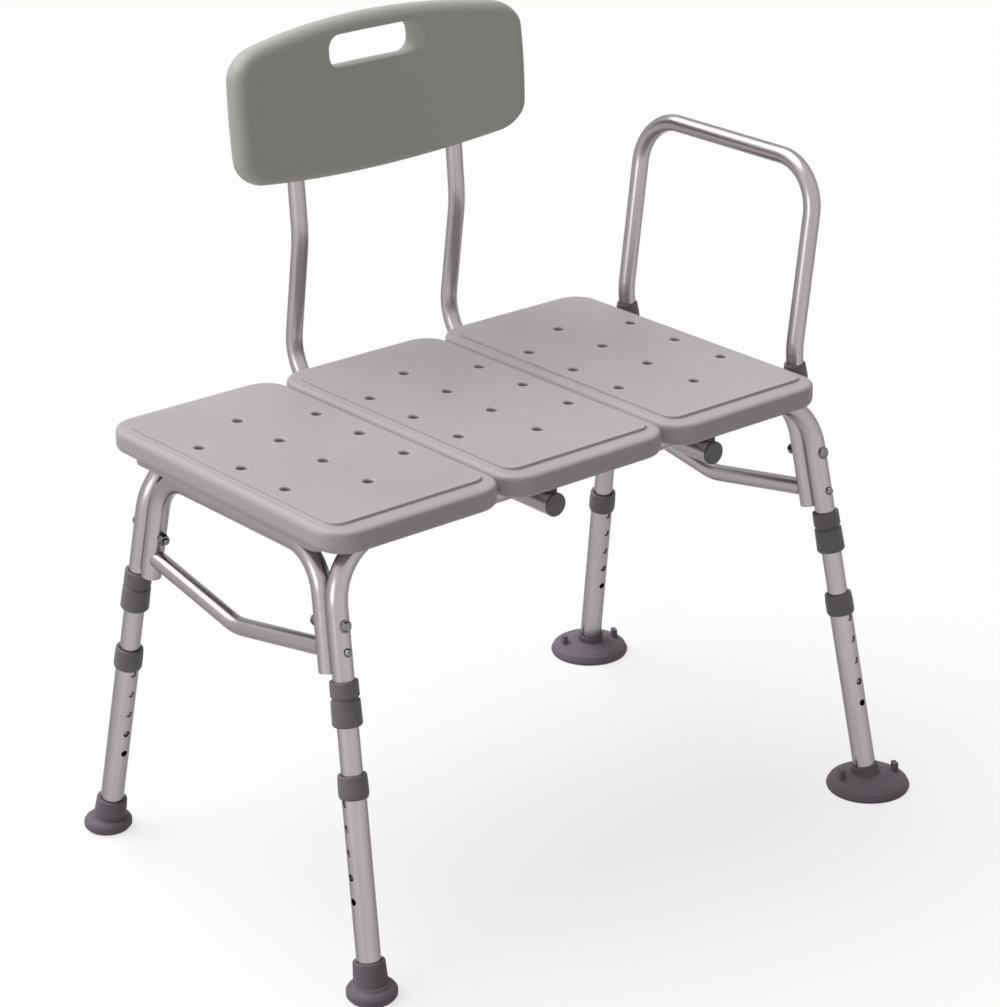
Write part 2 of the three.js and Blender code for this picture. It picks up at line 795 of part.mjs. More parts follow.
function lowerTube(turn) {
  const top = -capTopDrop - capLip - fitGap;
  const end = -soleDistance + footFloor + fitGap + lowerTubeRadius * splayY;
  const bore = tubeRadius + slideGap;
  const tube = straightTube(point(0, 0, top), point(0, 0, end), lowerTubeRadius, lowerTubeRadius - bore);
  const holes = Array.from({ length: holeCount }, (_, i) => pinBore(turn, -firstHoleDrop - i * holePitch));
  return cut(tube, holes);
}

// A foot is turned about plumb and bored along the leg, so that its sole lies flat
function footBody(profile, direction, extras) {
  const base = join([turned(profile, footSides), ...extras]);
  const from = direction.clone().multiplyScalar(-footFloor - lowerTubeRadius * splayY);
  const to = direction.clone().multiplyScalar(-4 * cupRadius);
  return cut(base, [rod(from, to, boreRadius(lowerTubeRadius + fitGap), frameSides)]);
}

function footSleeve(direction, low, high, radius) {
  return rod(direction.clone().multiplyScalar(-low), direction.clone().multiplyScalar(-high), radius, footSides);
}

function rubberTip(direction) {
  const flange = [
    [0, 0], [tipFlangeRadius - tipSoleEdge, 0], [tipFlangeRadius, tipSoleEdge],
    [tipFlangeRadius, tipFlangeThick - tipShoulder], [tipFlangeRadius - tipShoulder, tipFlangeThick],
    [0, tipFlangeThick],
  ];
  return footBody(flange, direction, [footSleeve(direction, footFloor, tipTall, tipSleeveRadius)]);
}

function suctionCup(direction) {
  const hollowRadius = cupRadius - 3 * cupRimWidth;
  const lugBase = cupLip + cupSkirtRise;
  const profile = [
    [0, cupHollow], [hollowRadius, cupHollow], [cupRadius - cupRimWidth, 0], [cupRadius, 0],
    [cupRadius, cupLip], [cupRadius - cupEdge, cupLip + cupEdge], [lugRadius, lugBase],
    [cupNeck + cupShoulder, cupTall - 2 * cupShoulder], [cupNeck, cupTall - cupShoulder],
    [0, cupTall - cupShoulder],
  ];
  const sleeve = footSleeve(direction, cupHollow + footFloor, cupTall + cupSleeveRise, cupNeck);
  const halfThick = lugThick / 2;
  const halfWidth = lugWidth / 2;
  const lugs = [0, Math.PI].map((turn) => {
    const low = [lugRadius - halfThick, -halfWidth, cupHollow + lugRoot];
    const high = [lugRadius + halfThick, halfWidth, lugBase + lugTall];
    return box(low, high).rotateZ(lugTurn + turn);
  });
  return footBody(profile, direction, [sleeve, ...lugs]);
}

function leg({ key, sx, sy, turn }) {
  const group = new THREE.Group();
  const direction = legPoint(sx, sy, 1).sub(legPoint(sx, sy, 0)).normalize();
  group.position.copy(legPoint(sx, sy, 0));
  group.quaternion.setFromUnitVectors(point(0, 0, -1), direction);
  bench.add(group);

  place(group, `leg_upper_collar_${key}`, upperCollar(), collarPlastic());
  place(group, `leg_inner_tube_${key}`, innerTube(turn), aluminium());
  place(group, `leg_lower_collar_${key}`, lowerCap(), collarPlastic());
  place(group, `leg_lower_tube_${key}`, lowerTube(turn), aluminium());

  const tip = tubeRadius + slideGap - fitGap;
  const clip = snapClip(tubeRadius - innerWall, tip, lowerTubeRadius + headOut - tip);
  const button = place(group, `leg_button_${key}`, clip.rotateX(Math.PI).rotateZ(turn), steel());
  button.position.z = -pinDistance;

  const foot = sx < 0 ? rubberTip(direction) : suctionCup(direction);
  const mesh = place(bench, `leg_foot_${key}`, foot, rubber());
  mesh.position.copy(legPoint(sx, sy, railZ));
}

[-1, 0, 1].forEach(seatPanel);
rail(-1, 'front_rail');
rail(1, 'rear_rail');
endFrame(-1, 'end_frame_left');
endFrame(1, 'end_frame_right');
brace(-1, 'brace_left');
brace(1, 'brace_right');
corners.forEach((corner) => {
  frameBolt(corner, upperBolt(corner.sx), true, `frame_bolt_upper_${corner.key}`);
  frameBolt(corner, lowerBolt(corner.sx), false, `frame_bolt_lower_${corner.key}`);
  frameNut(corner, upperBolt(corner.sx), `frame_nut_${corner.key}`);
});
[[-1, 'left'], [1, 'right']].forEach(([side, word]) => {
  receiver(side, word);
  backTube(side, word);
});
backPanel();
armRest();
corners.forEach(leg);

// The origin is under the middle of the whole bench, on the floor
const extent = new THREE.Box3().setFromObject(bench, true);
const middle = extent.getCenter(new THREE.Vector3());
bench.position.set(-middle.x, -middle.y, 0);

export default bench;
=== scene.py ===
# %% [markdown]
# # A bath transfer bench
# The bench carries a sitter over the edge of a bath: three moulded seat panels lie on two bent
# rails whose ends are the legs, and a back rest and an arm rest plug into the frame. The packed
# CAD model gives every size and place. Here each piece gets its smooth form and its finish.

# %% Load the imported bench
import math

import bmesh
import bpy
import numpy as np
from mathutils import Matrix, Vector


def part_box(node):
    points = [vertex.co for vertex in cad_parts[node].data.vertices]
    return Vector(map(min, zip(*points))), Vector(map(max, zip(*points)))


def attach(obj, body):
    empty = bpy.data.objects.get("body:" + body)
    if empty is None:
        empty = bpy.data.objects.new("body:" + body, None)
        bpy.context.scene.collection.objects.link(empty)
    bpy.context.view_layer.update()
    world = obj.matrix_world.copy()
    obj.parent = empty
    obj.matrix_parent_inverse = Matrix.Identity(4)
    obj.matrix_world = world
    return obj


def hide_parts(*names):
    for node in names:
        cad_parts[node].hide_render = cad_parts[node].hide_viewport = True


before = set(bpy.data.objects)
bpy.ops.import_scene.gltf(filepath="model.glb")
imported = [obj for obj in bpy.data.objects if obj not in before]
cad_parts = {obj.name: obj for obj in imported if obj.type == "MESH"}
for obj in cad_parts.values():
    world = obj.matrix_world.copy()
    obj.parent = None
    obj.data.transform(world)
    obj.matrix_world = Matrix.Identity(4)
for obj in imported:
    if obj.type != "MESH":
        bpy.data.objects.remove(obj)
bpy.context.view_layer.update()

# %% [markdown]
# ## Places that the pieces share
# Lengths are in millimetres, as on a drawing, and turn into metres when a mesh is made. The
# frame's middle is found from the middle seat panel, so every piece lands where the CAD has it.

# %% Shared sizes and the legs' lines
MM = 0.001
SEAT_TOP = 490.0
RAIL_Z = 457.0
END_Z = 444.0
RAIL_HALF_LENGTH = 323.5
RAIL_HALF_WIDTH = 155.5
SPLAY_X = 0.064
SPLAY_Y = 0.184
FRAME_R = 11.1
FIT_GAP = 0.3
SEAT_SHIFT = -23.7
LEFT_RIGHT = ((-1, "left"), (1, "right"))
FRONT_REAR = ((-1, "front"), (1, "rear"))

low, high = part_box("seat_panel_middle")
FRAME_X = (low[0] + high[0]) / 2 / MM - SEAT_SHIFT
LEG_REACH = math.sqrt(1 + SPLAY_X ** 2 + SPLAY_Y ** 2)
PAIR_OFFSET = (2 * FRAME_R + FIT_GAP) * math.hypot(1, SPLAY_Y)
# A corner has its side in X, its side in Y and the turn at which its row of holes looks out.
CORNERS = {
    "left_front": (-1, -1, math.pi),
    "left_rear": (-1, 1, -math.pi / 2),
    "right_front": (1, -1, -math.pi / 2),
    "right_rear": (1, 1, -math.pi / 2),
}


def at(x, y, z):
    """A point of the frame, with X counted from the frame's middle."""
    return Vector((FRAME_X + x, y, z))


def leg_point(sx, sy, drop):
    """The leg's axis, a drop below the rails' level."""
    x = sx * (RAIL_HALF_LENGTH + drop * SPLAY_X)
    return at(x, sy * (RAIL_HALF_WIDTH + drop * SPLAY_Y), RAIL_Z - drop)


def upright_point(sx, sy, drop):
    """The end frame's upright, which lies against the leg on its inner side."""
    return leg_point(sx, sy, drop) - Vector((0, sy * PAIR_OFFSET, 0))


def leg_down(sx, sy):
    """The way down a leg."""
    return (leg_point(sx, sy, 1) - leg_point(sx, sy, 0)).normalized()


def leg_matrix(sx, sy):
    """Local -Z runs down the leg from the rails' level."""
    turn = Vector((0, 0, -1)).rotation_difference(leg_down(sx, sy)).to_matrix().to_4x4()
    return Matrix.Translation(leg_point(sx, sy, 0)) @ turn


print(f"frame middle at x = {FRAME_X:.2f} mm, feet spread {2 * leg_point(1, 1, RAIL_Z).y:.0f} mm in Y")

# %% [markdown]
# ## Surface effects that several finishes share
# Moulded plastic, rubber and anodised tube all have a fine grain and a slow unevenness of tone.
# One node group makes both from three-dimensional noise, so that it has no seam on any shape.
# Small helpers make a tree with its sockets and add a node with what goes into it.

# %% The grain group
def node_tree(name, kind, inputs, outputs):
    """A node tree and its sockets. An input is a label, a type and, if it has one, a start value."""
    tree = bpy.data.node_groups.new(name, kind)
    for way, sockets in (("INPUT", inputs), ("OUTPUT", outputs)):
        for label, socket_type, *start in sockets:
            socket = tree.interface.new_socket(label, in_out=way, socket_type=socket_type)
            if start:
                socket.default_value = start[0]
    return tree, tree.nodes.new("NodeGroupInput"), tree.nodes.new("NodeGroupOutput")


def feed(tree, node, inputs):
    """Gives inputs of a node a value each, or links them to another node's output."""
    for name, value in inputs.items():
        if isinstance(value, bpy.types.NodeSocket):
            tree.links.new(value, node.inputs[name])
        else:
            node.inputs[name].default_value = value
    return node


def add_node(tree, kind, inputs):
    return feed(tree, tree.nodes.new(kind), inputs)


def noise(tree, vector, scale, detail, roughness):
    return add_node(tree, "ShaderNodeTexNoise", {
        "Vector": vector, "Scale": scale, "Detail": detail, "Roughness": roughness}).outputs["Fac"]


def ramp(tree, value, low, high, start=0.0, end=1.0):
    """A number that goes from low to high as the value goes from start to end."""
    return add_node(tree, "ShaderNodeMapRange", {
        "Value": value, "From Min": start, "From Max": end, "To Min": low, "To Max": high,
    }).outputs["Result"]


def grain_group():
    tree, source, sink = node_tree(
        "skin grain", "ShaderNodeTree",
        [("Vector", "NodeSocketVector"), ("Grain", "NodeSocketFloat", 900.0),
         ("Mottle", "NodeSocketFloat", 14.0)],
        [("Height", "NodeSocketFloat"), ("Tone", "NodeSocketFloat")])
    given = source.outputs
    slow = noise(tree, given["Vector"], given["Mottle"], detail=4.0, roughness=0.6)
    feed(tree, sink, {
        "Height": noise(tree, given["Vector"], given["Grain"], detail=3.0, roughness=0.55),
        "Tone": ramp(tree, slow, 0.0, 1.0, start=0.3, end=0.7)})
    return tree


SKIN_GRAIN = grain_group()
print("group:", SKIN_GRAIN.name)

# %% [markdown]
# ## The finishes
# One flat tone would look drawn, and an image would need a seam somewhere. So each finish mixes
# two close tones by the slow noise, lets roughness follow it, and presses the fine grain into
# the normal. Tubes carry their own coordinates, unrolled along the tube, so that the drawing
# lines of the aluminium run with every bend. Bright metal gets a painted dark reflection: its
# colour is darkened where the surface turns away from the camera, in place of the dark parts of
# a studio that a real tube mirrors along its sides.

# %% A finish from two tones and a grain
# Painted edge shade: over this span of Layer Weight's facing the colour darkens toward this share of the
# dark tone.
PAINTED_EDGE_SHADE_REACH = (0.08, 0.70)
PAINTED_EDGE_SHADE = 0.22
# Where a Mix node that is set to colours has its share, its two colours and its result.
MIX_SHARE, MIX_FIRST, MIX_SECOND, MIX_RESULT = 0, 6, 7, 2


def colour_mix(tree, share, first, second):
    """Goes from the first colour to the second by a share."""
    mix = tree.nodes.new("ShaderNodeMix")
    mix.data_type = "RGBA"
    feed(tree, mix, {MIX_SHARE: share, MIX_FIRST: first, MIX_SECOND: second})
    return mix.outputs[MIX_RESULT]


def finish(name, dark, light, rough, grain, mottle, bump, metal=0.0, stretch=None, rim=0.0):
    """The scales of grain and mottle count to the metre, and the bump's height is in metres.
    Rim sets how strongly a painted edge shade darkens the colour where the surface turns away.
    """
    material = bpy.data.materials.new(name)
    material.use_nodes = True
    tree = material.node_tree
    if stretch:
        space = tree.nodes.new("ShaderNodeAttribute")
        space.attribute_name = "tube_space"
        place = add_node(tree, "ShaderNodeMapping", {
            "Vector": space.outputs["Vector"], "Scale": (1.0, 1.0, stretch)}).outputs["Vector"]
    else:
        place = tree.nodes.new("ShaderNodeTexCoord").outputs["Object"]
    skin = tree.nodes.new("ShaderNodeGroup")
    skin.node_tree = SKIN_GRAIN
    feed(tree, skin, {"Vector": place, "Grain": grain, "Mottle": mottle})
    tone = skin.outputs["Tone"]
    colour = colour_mix(tree, tone, (*dark, 1.0), (*light, 1.0))
    # Painted edge shade: the colour darkens where the surface turns away from the camera, in place of a
    # dark reflection.
    if rim:
        facing = add_node(tree, "ShaderNodeLayerWeight", {"Blend": 0.5}).outputs["Facing"]
        reach = ramp(tree, facing, 0.0, rim, *PAINTED_EDGE_SHADE_REACH)
        reach.node.interpolation_type = "SMOOTHSTEP"
        colour = colour_mix(tree, reach, colour, (*[PAINTED_EDGE_SHADE * c for c in dark], 1.0))
    press = add_node(tree, "ShaderNodeBump", {
        "Strength": 1.0, "Distance": bump, "Height": skin.outputs["Height"]})
    feed(tree, tree.nodes["Principled BSDF"], {
        "Base Color": colour, "Roughness": ramp(tree, tone, *rough), "Metallic": metal,
        "Normal": press.outputs["Normal"]})
    return material


SEAT_PLASTIC = finish("seat plastic", (0.440, 0.410, 0.406), (0.472, 0.441, 0.437), (0.50, 0.60),
                      grain=1400.0, mottle=9.0, bump=0.00004)
BACK_PLASTIC = finish("back plastic", (0.475, 0.470, 0.440), (0.507, 0.502, 0.470), (0.50, 0.60),
                      grain=1400.0, mottle=9.0, bump=0.00004)
# Tube and plated steel get a painted dark edge reflection through rim.
TUBE_METAL = finish("anodised tube", (0.40, 0.368, 0.379), (0.48, 0.444, 0.456), (0.24, 0.32),
                    grain=2600.0, mottle=260.0, bump=0.00001, metal=1.0, stretch=0.03, rim=0.62)
COLLAR_PLASTIC = finish("collar plastic", (0.134, 0.120, 0.130), (0.182, 0.165, 0.177), (0.50, 0.62),
                        grain=1600.0, mottle=40.0, bump=0.00003)
FOOT_RUBBER = finish("foot rubber", (0.128, 0.104, 0.124), (0.168, 0.140, 0.163), (0.62, 0.8),
                     grain=1200.0, mottle=50.0, bump=0.00006)
PLATED_STEEL = finish("plated steel", (0.19, 0.19, 0.20), (0.27, 0.27, 0.28), (0.10, 0.18),
                      grain=2000.0, mottle=120.0, bump=0.00001, metal=1.0, rim=0.95)
BUTTON_PLASTIC = finish("button plastic", (0.010, 0.010, 0.011), (0.018, 0.018, 0.02), (0.35, 0.45),
                        grain=1800.0, mottle=60.0, bump=0.00002)
print("finishes:", len(bpy.data.materials))

# %% [markdown]
# ## How meshes are finished
# A modifier stack is turned into a plain mesh before the piece joins its body. Edges sharper
# than a set angle stay crisp and everything else is shaded smooth, as moulded and drawn parts are.

# %% Small helpers for meshes
SHARP = math.radians(32)
MERGE = 0.005


def add_object(name, data):
    piece = bpy.data.objects.new(name, data)
    bpy.context.scene.collection.objects.link(piece)
    return piece


def mesh_object(name, points, faces, edges=()):
    mesh = bpy.data.meshes.new(name)
    mesh.from_pydata([tuple(Vector(p) * MM) for p in points], list(edges), [tuple(f) for f in faces])
    mesh.update()
    return add_object(name, mesh)


def tidy_mesh(piece):
    """Merges doubles and turns the faces outward."""
    work = bmesh.new()
    work.from_mesh(piece.data)
    bmesh.ops.remove_doubles(work, verts=work.verts, dist=MERGE * MM)
    bmesh.ops.recalc_face_normals(work, faces=work.faces)
    work.to_mesh(piece.data)
    work.free()
    return piece


def bake(piece):
    """Turns the modifiers into a plain mesh."""
    view = bpy.context.evaluated_depsgraph_get()
    mesh = bpy.data.meshes.new_from_object(piece.evaluated_get(view))
    piece.modifiers.clear()
    old, piece.data = piece.data, mesh
    bpy.data.meshes.remove(old)
    return piece


def discard(piece):
    mesh = piece.data
    bpy.data.objects.remove(piece)
    bpy.data.meshes.remove(mesh)


def carve(piece, cutter, operation="DIFFERENCE"):
    """Cuts or joins with another solid, which is used up."""
    knife = piece.modifiers.new("carve", "BOOLEAN")
    knife.operation = operation
    knife.solver = "EXACT"
    knife.object = cutter
    bake(piece)
    discard(cutter)
    return piece


def soften(piece, width, angle):
    """Rounds the edges that are sharper than an angle in degrees a little."""
    bevel = piece.modifiers.new("soften", "BEVEL")
    bevel.width = width * MM
    bevel.segments = 2
    bevel.limit_method = "ANGLE"
    bevel.angle_limit = math.radians(angle)
    return bake(piece)


def deliver(piece, body, material, finish_slot, *nodes):
    """Hands a finished piece to its body, in place of the CAD nodes it stands for."""
    piece.data.materials.clear()
    piece.data.materials.append(material)
    piece.data.shade_smooth()
    piece.data.set_sharp_from_angle(angle=SHARP)
    even = piece.modifiers.new("even", "WEIGHTED_NORMAL")
    even.keep_sharp = True
    even.weight = 100
    bake(piece)
    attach(piece, body)
    if nodes:
        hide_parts(*nodes)
    print(piece.name, len(piece.data.polygons), "faces")


print("mesh helpers ready")

# %% [markdown]
# ## Bent tube by Geometry Nodes
# Nearly everything that carries load is round tube, bent cold over a die. The tree takes the
# corners of the tube's axis, rounds each one by its own bend radius and sweeps a circle along.
# It also keeps where each point lies round and along the tube, for the drawing lines.

# %% The tube tree
SHAPE = ("Geometry", "NodeSocketGeometry")


def store(tree, shape, value, name, kind="FLOAT", domain="POINT"):
    """Keeps a value under a name on each point or corner of a shape."""
    node = tree.nodes.new("GeometryNodeStoreNamedAttribute")
    node.data_type = kind
    node.domain = domain
    return feed(tree, node, {"Geometry": shape, "Name": name, "Value": value}).outputs["Geometry"]


def read(tree, name, kind="FLOAT"):
    node = tree.nodes.new("GeometryNodeInputNamedAttribute")
    node.data_type = kind
    return feed(tree, node, {"Name": name}).outputs["Attribute"]


def tube_tree():
    tree, source, sink = node_tree("bent tube", "GeometryNodeTree", [
        SHAPE, ("Radius", "NodeSocketFloat", 0.01), ("Sides", "NodeSocketInt", 64),
        ("Bend steps", "NodeSocketInt", 14), ("Closed ends", "NodeSocketBool", False)], [SHAPE])
    given = source.outputs
    route = add_node(tree, "GeometryNodeMeshToCurve", {"Mesh": given["Geometry"]})
    bend = tree.nodes.new("GeometryNodeFilletCurve")
    bend.mode = "POLY"
    feed(tree, bend, {
        "Curve": route.outputs["Curve"], "Count": given["Bend steps"], "Radius": read(tree, "bend")})
    length = tree.nodes.new("GeometryNodeSplineParameter").outputs["Length"]
    circle = add_node(tree, "GeometryNodeCurvePrimitiveCircle", {
        "Resolution": given["Sides"], "Radius": given["Radius"]})
    spot = tree.nodes.new("GeometryNodeInputPosition").outputs["Position"]
    sweep = add_node(tree, "GeometryNodeCurveToMesh", {
        "Curve": store(tree, bend.outputs["Curve"], length, "along"),
        "Profile Curve": store(tree, circle.outputs["Curve"], spot, "across", "FLOAT_VECTOR"),
        "Fill Caps": given["Closed ends"]})
    across = add_node(tree, "ShaderNodeSeparateXYZ", {
        "Vector": read(tree, "across", "FLOAT_VECTOR")}).outputs
    unrolled = add_node(tree, "ShaderNodeCombineXYZ", {
        "X": across["X"], "Y": across["Y"], "Z": read(tree, "along")}).outputs["Vector"]
    feed(tree, sink, {"Geometry": store(tree, sweep.outputs["Mesh"], unrolled, "tube_space",
                                        "FLOAT_VECTOR", "CORNER")})
    return tree


TUBE_TREE = tube_tree()
print("tree:", TUBE_TREE.name, "with", len(TUBE_TREE.nodes), "nodes")

# %% Tubes and pegs from the tree
CUT_EDGE = 0.35


def grow(piece, tree, inputs):
    """Runs a tree on a piece with its inputs set, and keeps the plain mesh."""
    modifier = piece.modifiers.new(tree.name, "NODES")
    modifier.node_group = tree
    for item in tree.interface.items_tree:
        if item.item_type == "SOCKET" and item.in_out == "INPUT" and item.name in inputs:
            modifier[item.identifier] = inputs[item.name]
    return bake(piece)


def bent(name, corners, bends, radius, closed=False, sides=64, steps=14):
    """The skin of a tube along corners, each inner one rounded by its bend radius."""
    piece = mesh_object(name, corners, [], [(i, i + 1) for i in range(len(corners) - 1)])
    bend = piece.data.attributes.new("bend", "FLOAT", "POINT")
    bend.data.foreach_set("value", [r * MM for r in (0.0, *bends, 0.0)])
    grow(piece, TUBE_TREE, {"Radius": radius * MM, "Sides": sides, "Bend steps": steps,
                            "Closed ends": closed})
    return tidy_mesh(piece)


def tube(name, corners, bends, radius, wall, **options):
    """A hollow tube: the skin gets its wall inward and a small chamfer at each cut end."""
    piece = bent(name, corners, bends, radius, **options)
    shell = piece.modifiers.new("wall", "SOLIDIFY")
    shell.thickness = wall * MM
    shell.offset = -1.0
    shell.use_even_offset = True
    bake(piece)
    return soften(piece, CUT_EDGE, 60)


def peg(name, start, end, radius, sides=48):
    return bent(name, [start, end], [], radius, closed=True, sides=sides)


print("tubes and pegs ready")

# %% [markdown]
# ## Turned pieces
# Collars, plugs, buttons and feet are round about one axis, as if turned on a lathe. A closed
# outline of radius and height, with a rounding at each corner, is spun about local Z.

# %% Spin an outline
MOST_OF_EDGE = 0.49


def rounded(outline, steps):
    """Rounds the corners of a closed outline: each point is (r, h) or (r, h, rounding)."""
    count = len(outline)
    result = []
    for i, (r, h, *extra) in enumerate(outline):
        here = Vector((r, h))
        radius = extra[0] if extra else 0.0
        before = Vector(outline[i - 1][:2]) - here
        after = Vector(outline[(i + 1) % count][:2]) - here
        if radius <= 0 or before.length < 1e-6 or after.length < 1e-6:
            result.append(here)
            continue
        angle = before.angle(after)
        reach = min(radius / math.tan(angle / 2), before.length * MOST_OF_EDGE,
                    after.length * MOST_OF_EDGE)
        true_radius = reach * math.tan(angle / 2)
        start = here + before.normalized() * reach
        end = here + after.normalized() * reach
        centre = here + (before.normalized() + after.normalized()).normalized() * (
            true_radius / math.sin(angle / 2))
        first = start - centre
        sweep = first.angle_signed(end - centre)
        for k in range(steps + 1):
            spin = Matrix.Rotation(-sweep * k / steps, 2)
            result.append(centre + spin @ first)
    return result


def spun(name, outline, place=None, sides=96, steps=5):
    """A body of revolution about local Z, in place."""
    place = place or Matrix.Identity(4)
    line = rounded(outline, steps)
    points, faces = [], []
    for k in range(sides):
        angle = 2 * math.pi * k / sides
        for r, h in line:
            points.append(place @ Vector((r * math.cos(angle), r * math.sin(angle), h)))
    n = len(line)
    for k in range(sides):
        a, b = k * n, ((k + 1) % sides) * n
        for i in range(n):
            j = (i + 1) % n
            if line[i][0] < 1e-6 and line[j][0] < 1e-6:
                continue
            faces.append((a + i, a + j, b + j, b + i))
    return tidy_mesh(mesh_object(name, points, faces))


def disc(name, radius, low, high, sides):
    """A plain cylinder, or a prism of few sides."""
    return spun(name, [(0, low), (radius, low), (radius, high), (0, high)], sides=sides)


def along(start, direction):
    """Local Z runs along a direction from a start."""
    turn = Vector((0, 0, 1)).rotation_difference(Vector(direction)).to_matrix().to_4x4()
    return Matrix.Translation(start) @ turn


print("lathe ready")

# %% [markdown]
# ## The rails, which are also the legs' upper halves
# Each rail is one tube: a straight run under the seat, bent down at both ends into legs that
# splay outward. One bent tube has no joint to work loose just where the load is largest.

# %% Rails
FRAME_WALL = 1.5
RAIL_BEND = 66.0
FRAME_LEG_END = 160.0


def rail_path(sy):
    """Up the left leg, along under the seat and down the right leg."""
    end = FRAME_LEG_END / LEG_REACH
    return [leg_point(sx, sy, drop) for sx, drop in ((-1, end), (-1, 0), (1, 0), (1, end))]


for sy, word in FRONT_REAR:
    rail = tube(f"rail_{word}", rail_path(sy), [RAIL_BEND] * 2, FRAME_R, FRAME_WALL, sides=72, steps=20)
    deliver(rail, "frame", TUBE_METAL, "tube", f"{word}_rail")

# %% [markdown]
# ## End frames and braces
# A U tube stands against the legs at each end, with its run under the seat. The right one has
# two upright stubs, which take the arm rest: they are joined to it while it is solid, and then
# the hollow is cut through all of it. A brace bent to a soft V ties the uprights together.

# %% End frames
END_BEND = 50.0
END_TAIL = 133.0
STUB_LOW = 60.0
STUB_TOP = 22.0
ARM_FOOT = 50.0
# A hair keeps two skins from lying exactly on each other, and a cutter runs past what it cuts.
HAIR = 0.02
PAST = 2


def arm_point(sy, rise):
    """A point of the arm rest's lower axis, which leans with the right end frame."""
    foot = upright_point(1, sy, STUB_LOW - (SEAT_TOP - RAIL_Z))
    return Vector((foot.x - (rise + STUB_LOW) * SPLAY_X, foot.y, SEAT_TOP + rise))


def end_path(sx, tail):
    """Up the front upright, along under the seat and down the rear upright."""
    top = RAIL_Z - END_Z
    return [upright_point(sx, sy, drop) for sy, drop in ((-1, tail), (-1, top), (1, top), (1, tail))]


for sx, word in LEFT_RIGHT:
    path = end_path(sx, END_TAIL)
    if sx < 0:
        hoop = tube("hoop_left", path, [END_BEND] * 2, FRAME_R, FRAME_WALL, sides=72, steps=16)
    else:
        hoop = bent("hoop_right", path, [END_BEND] * 2, FRAME_R, closed=True, sides=72, steps=16)
        for sy in (-1, 1):
            stub = peg("stub", arm_point(sy, -STUB_LOW - FRAME_R), arm_point(sy, -STUB_TOP),
                       FRAME_R - HAIR, 72)
            carve(hoop, stub, "UNION")
        hollow = FRAME_R - FRAME_WALL
        carve(hoop, bent("bore", end_path(sx, END_TAIL + PAST), [END_BEND] * 2, hollow, closed=True,
                         sides=72, steps=16))
        for sy in (-1, 1):
            carve(hoop, peg("bore", arm_point(sy, -ARM_FOOT - FIT_GAP), arm_point(sy, 0), hollow, 72))
    deliver(hoop, "frame", TUBE_METAL, "tube", f"end_frame_{word}")

# %% Braces
BRACE_R = 9.5
BRACE_WALL = 1.5
BRACE_BEND = 70.0
BRACE_START = 2 * FRAME_R + 2
COPE_LOW = END_TAIL + 22
UPPER_BOLT = {-1: 79.0, 1: 67.0}
LOWER_BOLT = {-1: 105.0, 1: 110.0}


def bolt_line(sx, sy, drop):
    """Where a bolt crosses the leg's axis, and its way inward through the end frame."""
    centre = leg_point(sx, sy, drop)
    down = (leg_point(sx, sy, drop + 1) - centre).normalized()
    inward = upright_point(sx, sy, drop) - centre
    inward = (inward - down * inward.dot(down)).normalized()
    return centre, inward


for sx, word in LEFT_RIGHT:
    lines = [bolt_line(sx, sy, LOWER_BOLT[sx]) for sy in (-1, 1)]
    front, rear = (centre + inward * BRACE_START for centre, inward in lines)
    middle = front - lines[0][1] * (front.y / lines[0][1].y)
    brace = tube(f"brace_tube_{word}", [front, middle, rear], [BRACE_BEND], BRACE_R, BRACE_WALL,
                 sides=60, steps=12)
    for sy in (-1, 1):
        carve(brace, peg("cope", upright_point(sx, sy, UPPER_BOLT[sx]), upright_point(sx, sy, COPE_LOW),
                         FRAME_R + FIT_GAP, 64))
    deliver(brace, "frame", TUBE_METAL, "tube", f"brace_{word}")

# %% [markdown]
# ## Bolts and nuts
# Two bolts at each corner go through the leg and the end frame: the upper one has a nut inside,
# the lower one ends in the brace. One tree sets a copy on every marked point and turns it by the
# point's own rotation, so a change to one fastener changes all of them.

# %% Copies on points
def copies_tree():
    tree, source, sink = node_tree(
        "copies on points", "GeometryNodeTree",
        [SHAPE, ("Copy", "NodeSocketObject"), ("Finish", "NodeSocketMaterial")], [SHAPE])
    given = source.outputs
    info = add_node(tree, "GeometryNodeObjectInfo", {"Object": given["Copy"]})
    turn = add_node(tree, "FunctionNodeEulerToRotation", {"Euler": read(tree, "turn", "FLOAT_VECTOR")})
    copies = add_node(tree, "GeometryNodeInstanceOnPoints", {
        "Points": given["Geometry"], "Instance": info.outputs["Geometry"],
        "Rotation": turn.outputs["Rotation"]})
    real = add_node(tree, "GeometryNodeRealizeInstances", {"Geometry": copies.outputs["Instances"]})
    paint = add_node(tree, "GeometryNodeSetMaterial", {
        "Geometry": real.outputs["Geometry"], "Material": given["Finish"]})
    feed(tree, sink, {"Geometry": paint.outputs["Geometry"]})
    return tree


COPIES_TREE = copies_tree()


def copies(name, pattern, places, material=TUBE_METAL):
    """One mesh with the pattern piece at each place; a place is a matrix. The pattern is used up."""
    piece = mesh_object(name, [place.translation for place in places], [])
    turn = piece.data.attributes.new("turn", "FLOAT_VECTOR", "POINT")
    turn.data.foreach_set("vector", [a for place in places for a in place.to_euler()])
    grow(piece, COPIES_TREE, {"Copy": pattern, "Finish": material})
    discard(pattern)
    return piece


print("tree:", COPIES_TREE.name)

# %% Bolts
BOLT_R = 3.0
BOLT_GRIP = 14.0
BOLT_PAST_NUT = 4.0
# Radii of a bolt's head and of its washer.
UPPER_HEAD = (5.4, 6.8)
LOWER_HEAD = (4.2, 4.6)
HEAD_TALL = 3.4
WASHER_TALL = 1.0
NUT_R = 6.2
NUT_TALL = 6.0
NUT_SLOPE = 1.44
HEAD_CROWN = 0.72
HEAD_WAIST = 0.45
NUT_CROWN = 0.82


def fastener_places(drops, distance):
    result = []
    for sx, sy, _ in CORNERS.values():
        centre, inward = bolt_line(sx, sy, drops[sx])
        result.append(along(centre + inward * distance, inward))
    return result


